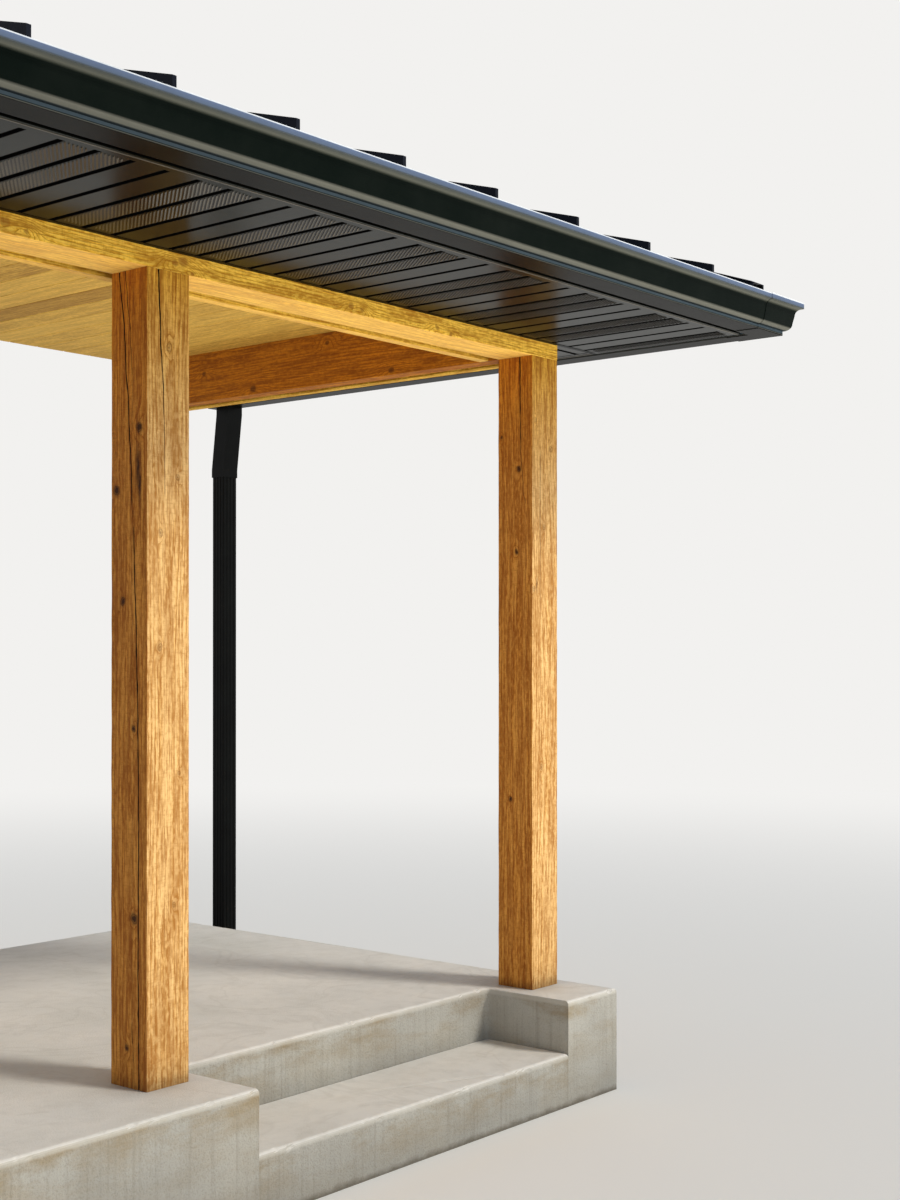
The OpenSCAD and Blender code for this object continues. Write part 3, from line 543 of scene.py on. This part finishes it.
def new_piece(name, verts, faces, material, replaced=(), hollow=None):
    """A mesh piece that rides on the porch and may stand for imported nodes."""
    mesh = bpy.data.meshes.new(name)
    mesh.from_pydata(verts, [], faces)
    mesh.materials.append(material)
    if hollow:
        mesh.attributes.new("hollow", "FLOAT", "POINT").data.foreach_set("value", hollow)
    mesh.update()
    made = put(name, mesh)
    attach(made, BODY)
    if replaced:
        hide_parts(*replaced)
    return made


def blend_between(points, u):
    """Value at u on a line through (u, value) points, smoothed between them."""
    points = sorted(points)
    if u <= points[0][0]:
        return points[0][1]
    for (u0, v0), (u1, v1) in zip(points, points[1:]):
        if u <= u1:
            t = (u - u0) / (u1 - u0)
            return v0 + (v1 - v0) * t * t * (3 - 2 * t)
    return points[-1][1]


def ramp_up(value, start, stop):
    """Zero at the start, one at the stop, and straight between them."""
    return min(max((value - start) / (stop - start), 0.0), 1.0)


def skin(rows, count, closed=True, looped=False, turned_over=False):
    """Four-sided faces between rows of points. A row may close to a ring, and the last row
    may lead back to the first."""
    faces = []
    for i in range(rows if looped else rows - 1):
        here, there = i * count, (i + 1) % rows * count
        for j in range(count if closed else count - 1):
            k = (j + 1) % count
            quad = (here + j, here + k, there + k, there + j)
            faces.append(quad[::-1] if turned_over else quad)
    return faces


class SawnTimber:
    """A long timber as rings of points: rounded edges, sawn waviness and open checks."""

    def __init__(self, axis, low, high, checks=(), edge=4 * MM, seed=0.0):
        self.axis = "XYZ".index(axis)
        self.a, self.b = [i for i in range(3) if i != self.axis]
        self.low, self.high = low, high
        self.length = high[self.axis] - low[self.axis]
        self.checks, self.edge, self.seed = checks, edge, seed

    def opening(self, check, u, number):
        """Place across the face, half width and depth of a check at a distance along.
        A check that ends short of the timber's end runs out to nothing there."""
        stray, run_out = 1.6 * MM, 90 * MM
        high, low = check["line"][0][0], check["line"][-1][0]
        at = blend_between(check["line"], u)
        at += stray * noise.noise((u * 26, self.seed + 7 * number, 3.1))
        ends = taper = 1.0
        if low > MM:
            ends = ramp_up(u, low, low + run_out * 4)
            taper = 0.2 + 0.8 * ramp_up(u, low, high)
        if high < self.length - MM:
            ends *= ramp_up(high - u, 0, run_out)
        rough = 0.8 + 0.7 * noise.noise((u * 30, self.seed, 9.0 + number))
        return at, check["width"] / 2 * ends * rough * taper, check["depth"] * ends

    def face_columns(self, face, length, u):
        """Places across one face from its start, with how far each is pushed in and how
        much of it lies in a check."""
        mine = [c for c in self.checks if c["face"] == face]
        spots = []
        for number, check in enumerate(mine):
            at, half, depth = self.opening(check, u, number)
            spots.append((length - at if face in ("back", "left") else at, half, depth))
        spots.sort()
        columns, start = [], self.edge
        for at, half, depth in spots:
            # How dark each part of a check shows: full painted shade down its walls, and a third of
            # it as stain at its lips
            lip, stained = 2 * MM + half, min(depth / MM, 1.0)
            stop = max(at - lip, start + MM)
            columns += [(start + (stop - start) * i / 5, 0.0, 0.0) for i in range(6)]
            rim = ((half + 0.5 * MM, 0.0, 0.35), (half, 0.3 * MM, 1.0), (half * 0.6, depth, 1.0))
            columns += [(at - out, pushed, stained * share) for out, pushed, share in rim]
            columns += [(at + out, pushed, stained * share) for out, pushed, share in rim[::-1]]
            start = at + lip
        count = 6 if spots else 12
        end = length - self.edge
        columns += [(start + (end - start) * i / (count - 1), 0.0, 0.0) for i in range(count)]
        return columns

    def ring(self, u):
        """Points round the timber at a distance along it, each with its share in a check."""
        width = self.high[self.a] - self.low[self.a]
        depth = self.high[self.b] - self.low[self.b]
        starts = ((0, 0, 1, 0), (width, 0, 0, 1), (width, depth, -1, 0), (0, depth, 0, -1))
        saw_wave, points = 0.45 * MM, []
        for side, ((x, y, dx, dy), face) in enumerate(zip(starts, FACE_ORDER)):
            length = width if dx else depth
            for at, pushed, share in self.face_columns(face, length, u):
                inward = pushed + saw_wave * (
                    1 + noise.noise((u * 9, at * 14 + self.seed, 1.7 * side)))
                points.append((x + dx * at - dy * inward, y + dy * at + dx * inward, share))
            worn = 0.29 * self.edge * (1 + 0.5 * noise.noise((u * 14, self.seed, 5.3 * side)))
            end = length - worn
            points.append((x + dx * end - dy * worn, y + dy * end + dx * worn, 0.0))
        return points

    def mesh(self, step=12 * MM):
        """Points, faces and the share of each point in a check."""
        count = max(2, int(self.length / step))
        verts, hollow = [], []
        for i in range(count + 1):
            u = self.length * i / count
            for p, q, share in self.ring(u):
                point = list(self.low)
                point[self.axis] += u
                point[self.a] += p
                point[self.b] += q
                verts.append(point)
                hollow.append(share)
        n = len(verts) // (count + 1)
        turned_over = self.axis == 1
        faces = skin(count + 1, n, turned_over=turned_over)
        ends = (tuple(range(n))[::-1], tuple(range(count * n, (count + 1) * n)))
        faces += [end[::-1] if turned_over else end for end in ends]
        return verts, faces, hollow


def on_post(low, high, up, face, across):
    """The point in metres that a place in millimetres on a post's face stands for."""
    height, across = low.z + up * MM, across * MM
    if face == "front":
        return low.x + across, low.y, height
    return low.x if face == "left" else high.x, low.y + across, height


def cast_block(corners, rounds, top, edge, seed, step=12 * MM):
    """A cast block over a plan of corners, run round from the front left. Its faces are
    slightly uneven, and its upper edges are worn and chipped. Each side has its own reach
    of the rounded edge."""
    count, arc, levels = len(corners), 5, 24
    turns = [a * math.pi / 2 / arc for a in range(1, arc + 1)]
    rows = [(0.0, z / levels * (top - edge)) for z in range(levels + 1)]
    rows += [(1 - math.cos(a), top - edge + edge * math.sin(a)) for a in turns]
    sides = list(zip(corners, corners[1:] + corners[:1]))
    normals = [Vector((a[1] - b[1], b[0] - a[0])).normalized() for a, b in sides]
    pieces = [max(1, round((abs(b[0] - a[0]) + abs(b[1] - a[1])) / step)) for a, b in sides]
    # Sand and long waves push a face in, and chips are cut out of its upper edge
    sand, wave, cut, verts = 0.6 * MM, 0.8 * MM, 14 * MM, []
    for inset, height in rows:
        placed = []
        for i, (x, y) in enumerate(corners):
            first, second = normals[i - 1], normals[i]
            spread = (first * rounds[i - 1] + second * rounds[i]) * inset / (1 + first.dot(second))
            placed.append((x + spread.x, y + spread.y))
        near = ramp_up(height, top - 40 * MM, top - 12 * MM)
        for i, (x, y) in enumerate(placed):
            next_x, next_y = placed[(i + 1) % count]
            for j in range(pieces[i]):
                t = j / pieces[i]
                px, py = x + (next_x - x) * t, y + (next_y - y) * t
                rough = sand * (1 + noise.noise((px * 40, py * 40, height * 40 + seed)))
                rough += wave * (1 + noise.noise((px * 5, py * 5, height * 5 + seed)))
                chip = max(0.0, noise.noise((px * 31, py * 31, height * 60 + seed)) - 0.4) * cut
                chip *= near * rounds[i] / edge
                inner = rough + chip if j else rough * 0.5
                down = chip * 0.7 * (height > top - 8 * MM) + 0.3 * MM * (height > top - MM)
                verts.append((px + normals[i].x * inner, py + normals[i].y * inner,
                              max(height - down, 0)))
    around, total = sum(pieces), len(verts)
    ends = [tuple(range(total - around, total)), tuple(range(around))[::-1]]
    return verts, skin(len(rows), around) + ends


def soffit_place(side):
    """Turns a place on a soffit (along its eave, in from it, down) to one in the model."""
    low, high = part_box(side + "_soffit")
    if side == "front":
        return lambda along, inward, down: (low.x + along, low.y + inward, low.z - down)
    eave, towards = (low.x, 1) if side == "left" else (high.x, -1)
    return lambda along, inward, down: (eave + towards * inward, low.y + along, low.z - down)


def louvre_field(side, ribs, length, gap, hood, slit):
    """Pressed louvres of a soffit's vented ribs: small hoods in slanted rows, each open
    towards the wall over its slit, which takes painted shade, and all set 1 mm up in the sheet.
    The rows are drawn twice as far apart as real ones, so that they show."""
    place, hand = soffit_place(side), -1 if side == "left" else 1
    step, half, slant = 12.3 * MM, 5.9 * MM, 1.25
    run, drop, crease = 7.6 * MM, 2.2 * MM, 0.1 * MM
    columns, reach = int(RIB_FLAT / step), RIB_FLAT / 2 * slant
    verts, faces, shade = [], [], []
    for rib in ribs:
        for i in range(columns):
            u = (i - (columns - 1) / 2) * step
            for j in range(int((length + 2 * reach) / gap)):
                v = j * gap - reach + slant * u
                if v < slant * half or v + gap + slant * half > length:
                    continue
                base = len(verts)
                for at, down in ((v, 0.0), (v + run, drop), (v + run, crease), (v + gap, crease)):
                    verts += [place(rib + hand * (u + out), SOFFIT_STRIP + at + slant * out,
                                    down - MM) for out in (-half, half)]
                faces += [(k, k + 2, k + 3, k + 1) for k in range(base, base + 6, 2)]
                shade += [0, 1, 1]
    made = new_piece(side + "_soffit_louvres", verts, faces, hood)
    made.data.materials.append(slit)
    made.data.polygons.foreach_set("material_index", shade)
    made.data.update()


def folded_lip(side, length, paint):
    """The folded lip along a soffit's outer edge: a flat hem with rounded sides, slightly
    wavy as hand-bent sheet is."""
    place = soffit_place(side)
    section = ((8.0, 0.0), (8.2, 0.9), (9.0, 1.5), (12.0, 1.5), (12.8, 0.9), (13.0, 0.0))
    count = int(length / (40 * MM))
    verts = []
    for i in range(count + 1):
        at = length * i / count
        wave = 0.5 * MM * noise.noise((at * 3.1, 4.0, 2.0))
        verts += [place(at, inward * MM + wave, down * MM) for inward, down in section]
    faces = skin(count + 1, len(section), closed=False)
    new_piece(side + "_soffit_lip", verts, faces, paint)


def pipe_outline(width, depth, inset):
    """Section of a fluted pipe with rounded corners, as points run round it."""
    flute, sunk, corner = 10 * MM, 3 * MM, 5 * MM - inset * 0.5
    hollow = ((-0.5, 0.0), (-0.25, 0.8), (0.0, 1.0), (0.25, 0.8), (0.5, 0.0))
    points = []
    for dx, dy in ((1, 0), (0, 1), (-1, 0), (0, -1)):
        length, other = (width, depth) if dx else (depth, width)
        half, out, gap = length / 2 - inset, other / 2 - inset, (length - 2 * flute) / 3
        line = [(corner - half, 0.0)]
        line += [(k * gap + at * flute, deep * sunk) for k in (-1, 0, 1) for at, deep in hollow]
        line += [(half - corner + corner * math.sin(a), corner * (1 - math.cos(a)))
                 for a in EIGHTHS[:4]]
        points += [(dx * u + dy * (out - v), dy * u - dx * (out - v)) for u, v in line]
    return points


# Operators

class PORCH_OT_stoop(bpy.types.Operator):
    """Cast the concrete stoop and its step, with worn and chipped edges"""
    bl_idname = "porch.stoop"
    bl_label = "Stoop"

    def execute(self, context):
        settings = context.scene.porch_concrete
        low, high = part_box("porch_slab")
        step_low, step_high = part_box("lower_step")
        posts = [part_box(name) for name in POSTS]
        feet = [((a.x + b.x) / 2, (a.y + b.y) / 2, a.z) for a, b in posts]
        edge, sharp, bend = settings.edge_round, 2 * MM, 18 * MM
        turns = [(1 - math.cos(a), 1 - math.sin(a)) for a in EIGHTHS]
        back_left = [(step_low.x + bend * p, step_high.y - bend * q) for p, q in turns]
        back_right = [(step_high.x - bend * p, step_high.y - bend * q) for p, q in turns[::-1]]
        corners = ((low.x, low.y), (step_low.x, low.y), *back_left, *back_right,
                   (step_high.x, low.y), (high.x, low.y), (high.x, high.y), (low.x, high.y))
        rounds = (edge, sharp, *[edge] * (len(turns) * 2 - 1), sharp, edge, edge, 0.0, edge)
        concrete = cast_concrete("concrete_trowelled_slab", settings, high.z, feet)
        verts, faces = cast_block(corners, rounds, high.z, edge, 2.0)
        new_piece("porch_slab_cast", verts, faces, concrete, ("porch_slab",))
        corners = ((step_low.x, step_low.y), (step_high.x, step_low.y),
                   (step_high.x, step_high.y), (step_low.x, step_high.y))
        concrete = cast_concrete("concrete_trowelled_step", settings, step_high.z)
        verts, faces = cast_block(corners, (edge, 0.0, 0.0, 0.0), step_high.z, edge, 5.0)
        new_piece("lower_step_cast", verts, faces, concrete, ("lower_step",))
        return {"FINISHED"}


class PORCH_OT_posts(bpy.types.Operator):
    """Saw the three posts, with their knots, streaks and open drying checks"""
    bl_idname = "porch.posts"
    bl_label = "Posts"

    def execute(self, context):
        settings = context.scene.porch_timber
        for index, name in enumerate(POSTS):
            low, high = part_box(name)
            knots = {"left": [], "front": [], "right": []}
            for up, face, across, size in POST_KNOTS[name]:
                knots[face].append((on_post(low, high, up, face, across), size * MM))
            streaks = [(on_post(low, high, up, face, across), size * MM, run)
                       for up, face, across, size, run in STREAKS[name]]
            centre = (low + high) / 2
            pith = (centre.x + 12 * MM * (index - 1), centre.y - 20 * MM, 0)
            wood = sawn_timber(
                "fir_stained_" + name, "Z", pith, settings.post_stain, settings.ring_gap,
                knots["front"], knots["left"] + knots["right"], streaks, foot=low.z, head=high.z)
            checks = [{"face": face, "line": [(up * MM, across * MM) for up, across in line],
                       "width": width * MM * settings.check_gape, "depth": depth * MM}
                      for face, *line, width, depth in POST_CHECKS[name]]
            verts, faces, hollow = SawnTimber("Z", low, high, checks, seed=3.0 + index).mesh()
            new_piece(name + "_sawn", verts, faces, wood, (name,), hollow)
        return {"FINISHED"}


class PORCH_OT_beams(bpy.types.Operator):
    """Saw the front beam, its inner board and the side beams"""
    bl_idname = "porch.beams"
    bl_label = "Beams"

    def execute(self, context):
        settings = context.scene.porch_timber
        beams = (("front_beam", "X", settings.front_stain, "stained_timber"),
                 ("front_inner_board", "X", settings.front_stain, "stained_timber"),
                 ("left_side_beam", "Y", settings.side_stain, "side_beam_timber"),
                 ("right_side_beam", "Y", settings.side_stain, "side_beam_timber"))
        post_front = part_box("middle_post")[0].y
        for index, (name, axis, tones, slot) in enumerate(beams):
            low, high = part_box(name)
            knots = []
            if name == "front_beam":
                knots = [((x * MM, low.y, low.z + z * MM), size * MM)
                         for x, z, size in FRONT_BEAM_KNOTS]
            elif axis == "Y":
                inner = high.x if name.startswith("left") else low.x
                knots = [((inner, post_front + y * MM, low.z + z * MM), size * MM)
                         for y, z, size in SIDE_BEAM_KNOTS]
            centre = (low + high) / 2
            pith = (centre.x, centre.y - 30 * MM, centre.z + 60 * MM)
            # The front beams' undersides take a painted glow of bounced light
            wood = sawn_timber("fir_stained_" + name, axis, pith, tones, settings.ring_gap, knots,
                               eye=SPIKE_KNOT, painted_bounce="#F8C66C" if axis == "X" else None)
            verts, faces, hollow = SawnTimber(axis, low, high, seed=20.0 + index).mesh(24 * MM)
            new_piece(name + "_sawn", verts, faces, wood, (name,), hollow)
        return {"FINISHED"}


class PORCH_OT_boards(bpy.types.Operator):
    """Finish the ceiling, the boards beside the beams and the framing above"""
    bl_idname = "porch.boards"
    bl_label = "Ceiling and framing"

    def execute(self, context):
        settings = context.scene.porch_timber
        gap = settings.ring_gap
        dress(sawn_timber("fir_stained_outer_board", "Y", (0, 0, 2.9), settings.front_stain, gap),
              "side_outer_boards")
        # Painted shade: the fillers at the back of the beam's groove take near-black tones
        dress(sawn_timber("fir_filler_painted_shade", "Y", (0, 0, 2.9),
                          "#4A3018 #3C2612 #261608 #120A04", gap), "beam_fillers")
        dress(sawn_timber("fir_planed_ceiling", "Y", (0, 0, 3.3), settings.ceiling_stain, gap,
                          boards=True), "ceiling_boards")
        dress(sawn_timber("spruce_planed", "Y", (0, 0, 2.6),
                          "#DDC49A #CFB486 #B3925F #7A5A34", gap),
              "rafter_plate", "wall_ledger", "ceiling_joists", "hip_rafters", "ridge_board",
              *[side + "_rafters" for side in SIDES])
        dress(sawn_timber("sheathing_pressed", "Y", (0, 0, 2.6),
                          "#D2B27C #BF9C66 #9C7844 #6A4C28", gap * 3),
              *[side + "_deck" for side in SIDES])
        return {"FINISHED"}


class PORCH_OT_roof(bpy.types.Operator):
    """Paint the standing-seam roof, its caps and the fascia covers"""
    bl_idname = "porch.roof"
    bl_label = "Roof metal"

    def execute(self, context):
        paint = context.scene.porch_metal.roof_paint
        dress(painted_sheet("steel_painted_roof", paint, "#232833", 0.45, 0.08),
              "left_hip_cap", "right_hip_cap", "ridge_cap",
              *[side + part for side in SIDES for part in ("_roof_panels", "_fascia")])
        return {"FINISHED"}


class PORCH_OT_soffits(bpy.types.Operator):
    """Paint the ribbed soffits, and add their vents and folded lips"""
    bl_idname = "porch.soffits"
    bl_label = "Soffits"

    def execute(self, context):
        settings = context.scene.porch_metal
        paint, deep = settings.soffit_paint, "#030303"
        # Painted shade: near black from 3 mm up into the grooves
        bands = [(0.0, paint), (2.2, paint), (3.0, deep), (20.0, deep)]
        for side in SIDES:
            low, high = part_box(side + "_soffit")
            grooves = ("Y", low.y + RIB / 2, "X", max(high.x, -low.x) - SOFFIT_STRIP)
            if side == "front":
                grooves = ("X", RIB_START, "Y", -low.y - SOFFIT_STRIP)
            dress(painted_sheet("aluminium_painted_soffit_" + side, (low.z, 20 * MM, bands),
                                "#20211A", 0.28, 0.045, grooves), side + "_soffit")
        # Painted shade: the channels are near black, darker than the soffits, as the shadow gap
        # along their edges
        dress(painted_sheet("aluminium_channel_painted_shade", "#050505", "#100F0D", 0.4, 0.03),
              "soffit_channels")

        # Painted light and shade: the hoods are paler than the soffit paint, as painted light, and
        # the slits near black, as painted shade
        hood = painted_sheet("aluminium_louvre_painted_light", "#3B372E", "#49453A", 0.3, 0.07)
        slit = painted_sheet("aluminium_slit_painted_shade", "#12110D", "#1C1A15", 0.3, 0.07)
        # Vented ribs come in pairs, with pairs of plain ribs between them
        vented = [n for n in range(-20, 21) if n % 4 < 2]
        for side in SIDES:
            low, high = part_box(side + "_soffit")
            ribs, length = [n * RIB for n in vented if n > 1], high.x - low.x
            if side == "front":
                ribs = [RIB_START - low.x + (n + 0.5) * RIB for n in vented]
                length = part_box("middle_post")[0].y - CHANNEL - low.y
            louvre_field(side, ribs, length - SOFFIT_STRIP, settings.louvre_gap, hood, slit)

        # Painted highlight: the lip is painted lighter than the soffit, as the light line along its
        # bend
        lip = painted_sheet("aluminium_lip_painted_highlight", "#48443C", "#5C584E", 0.35, 0.15)
        for side in SIDES:
            low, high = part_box(side + "_soffit")
            folded_lip(side, high.x - low.x if side == "front" else high.y - low.y, lip)
        return {"FINISHED"}


class PORCH_OT_gutters(bpy.types.Operator):
    """Paint the gutters and their corner pieces: dark paint under a film of dust, with painted
    reflections and highlights in bands along their folds
    """
    bl_idname = "porch.gutters"
    bl_label = "Gutters"

    def execute(self, context):
        paint = context.scene.porch_metal.gutter_paint
        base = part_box("front_gutter")[0].z
        # Foot, lower bead, step, plain face, upper bead and bright rolled lip. Their light bands
        # are painted reflections of sky and ground, and the white at the lip's top a painted
        # highlight
        bands = [(0.0, "#0B0A07"), (1.0, "#0B0A07"), (1.6, "#5A5B56"), (3.2, "#4A4C48"),
                 (4.0, "#161C1C"), (5.0, "#1E2628"), (6.2, "#46535C"), (12.6, "#4D5B64"),
                 (13.8, "#161C1E"), (15.6, "#20262A"), (16.6, "#5E5F58"), (23.0, "#66665E"),
                 (28.6, paint), (86.0, paint), (88.5, "#2E312A"), (93.0, "#5C5D55"),
                 (97.0, "#50534F"), (100.0, "#4E5762"), (102.0, "#5C6A80"), (113.6, "#637290"),
                 (114.6, "#D8E0EA"), (118.0, "#EEF2F6")]
        gutter = painted_sheet("aluminium_gutter_painted_reflections", (base, 128 * MM, bands),
                               "#262A26", 0.35, 0.02)
        dress(gutter, "left_gutter_corner", "right_gutter_corner",
              *[side + "_gutter" for side in SIDES])
        return {"FINISHED"}


class PORCH_OT_downspouts(bpy.types.Operator):
    """Paint the leaning top pieces, and form the fluted downspouts"""
    bl_idname = "porch.downspouts"
    bl_label = "Downspouts"

    def execute(self, context):
        paint = context.scene.porch_metal.pipe_paint
        pipe = painted_sheet("aluminium_painted_pipe", paint, "#101312", 0.3, 0.08)
        dress(pipe, "left_offset_pipe", "right_offset_pipe")
        for side in ("left", "right"):
            low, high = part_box(side + "_downspout")
            centre, size = (low + high) / 2, high - low
            outer = pipe_outline(size.x, size.y, 0.0)
            inner = pipe_outline(size.x, size.y, 2 * MM)
            rings = ((outer, low.z), (outer, high.z), (inner, high.z), (inner, low.z))
            verts = [(centre.x + x, centre.y + y, z) for line, z in rings for x, y in line]
            faces = skin(len(rings), len(outer), looped=True)
            made = new_piece(side + "_downspout_fluted", verts, faces, pipe,
                             (side + "_downspout",))
            made.data.shade_smooth()
            made.data.set_sharp_from_angle(angle=math.radians(35))
        return {"FINISHED"}


class PORCH_OT_stage(bpy.types.Operator):
    """Set the floor, the light and the camera"""
    bl_idname = "porch.stage"
    bl_label = "Stage"

    def execute(self, context):
        stage = context.scene.porch_stage
        r = stage.floor_reach
        mesh = bpy.data.meshes.new("floor")
        mesh.from_pydata([(-r, -r, 0), (r, -r, 0), (r, r, 0), (-r, r, 0)], [], [(0, 1, 2, 3)])
        floor = put("floor", mesh)
        paper, tree = new_material("paper_floor")
        # The floor fades to the backdrop's tone between 4 and 15 m from the porch
        away = add_node(tree, VECTOR_MATH, {0: fresh_place(tree)}, operation="LENGTH")
        fade = add_node(tree, MAP_RANGE, {
            "Value": away.outputs["Value"], "From Min": 4.0, "From Max": 15.0},
            interpolation_type="SMOOTHSTEP")
        fade = add_node(tree, MATH, {0: fade, 1: seen_directly(tree)}, operation="MULTIPLY")
        shader = add_node(tree, "ShaderNodeBsdfPrincipled", {
            "Base Color": linear(stage.floor_colour), "Roughness": 0.9, "Specular IOR Level": 0.1})
        glow = add_node(tree, "ShaderNodeEmission", {
            "Color": linear(stage.backdrop_colour), "Strength": 1.0})
        surface = add_node(tree, "ShaderNodeMixShader", {0: fade, 1: shader, 2: glow})
        add_node(tree, "ShaderNodeOutputMaterial", {"Surface": surface})
        mesh.materials.append(paper)

        world = bpy.data.worlds.new("studio")
        context.scene.world = world
        world.use_nodes = True
        tree = world.node_tree
        tree.nodes.clear()
        light = add_node(tree, "ShaderNodeBackground", {
            "Color": linear("#E6EEF8"), "Strength": SKY_STRENGTH})
        shown = add_node(tree, "ShaderNodeBackground", {
            "Color": linear(stage.backdrop_colour), "Strength": 1.0})
        mixed = add_node(tree, "ShaderNodeMixShader", {0: seen_directly(tree), 1: light, 2: shown})
        add_node(tree, "ShaderNodeOutputWorld", {"Surface": mixed})

        sun = bpy.data.lights.new("soft_sun", "SUN")
        sun.energy = SUN_STRENGTH
        sun.angle = math.radians(12)
        sun.color = WARM_LIGHT
        lamp = put("soft_sun", sun)
        lamp.rotation_euler = Vector((-0.32, 0.9, -0.85)).to_track_quat("-Z", "Y").to_euler()

        # What bright ground sends up to the ceiling and soffits
        bounce = bpy.data.lights.new("ground_bounce", "AREA")
        bounce.shape = "RECTANGLE"
        bounce.size, bounce.size_y = 7.0, 3.0
        bounce.energy = BOUNCE_WATTS
        bounce.color = WARM_LIGHT
        lamp = put("ground_bounce", bounce)
        lamp.location = (2.4, -3.2, 0.03)
        lamp.rotation_euler = (math.pi, 0, 0)
        lamp.visible_camera = False
        lamp.visible_glossy = False

        lens = bpy.data.cameras.new("photo_camera")
        lens.sensor_fit = "AUTO"
        lens.sensor_width = SENSOR
        lens.lens = FOCAL_PIXELS / PHOTO_HEIGHT * SENSOR
        lens.shift_y = SHIFT_PIXELS / PHOTO_HEIGHT
        lens.clip_end = 200
        camera = put("photo_camera", lens)
        camera.location = (-3.152, -4.3504, 1.6293)
        camera.rotation_euler = (math.radians(90.248), 0, math.radians(-50.53))
        context.scene.camera = camera
        context.scene.view_settings.view_transform = "Standard"
        return {"FINISHED"}


class PORCH_PT_pieces(bpy.types.Panel):
    """Lists the steps that dress the porch canopy"""
    bl_idname = "PORCH_PT_pieces"
    bl_label = "Porch canopy"
    bl_space_type = "VIEW_3D"
    bl_region_type = "UI"
    bl_category = "Porch"

    def draw(self, context):
        for step in STEPS:
            self.layout.operator(step.bl_idname)


SETTINGS = {"porch_concrete": ConcreteSettings, "porch_timber": TimberSettings,
            "porch_metal": MetalSettings, "porch_stage": StageSettings}
STEPS = (PORCH_OT_stoop, PORCH_OT_posts, PORCH_OT_beams, PORCH_OT_boards, PORCH_OT_roof,
         PORCH_OT_soffits, PORCH_OT_gutters, PORCH_OT_downspouts, PORCH_OT_stage)
CLASSES = (*SETTINGS.values(), *STEPS, PORCH_PT_pieces)


def register():
    for made in CLASSES:
        bpy.utils.register_class(made)
    for name, made in SETTINGS.items():
        setattr(bpy.types.Scene, name, bpy.props.PointerProperty(type=made))


def unregister():
    for name in SETTINGS:
        delattr(bpy.types.Scene, name)
    for made in reversed(CLASSES):
        bpy.utils.unregister_class(made)


def main():
    register()
    bpy.ops.porch.stoop()
    bpy.ops.porch.posts()
    bpy.ops.porch.beams()
    bpy.ops.porch.boards()
    bpy.ops.porch.roof()
    bpy.ops.porch.soffits()
    bpy.ops.porch.gutters()
    bpy.ops.porch.downspouts()
    bpy.ops.porch.stage()


if __name__ == "__main__":
    main()
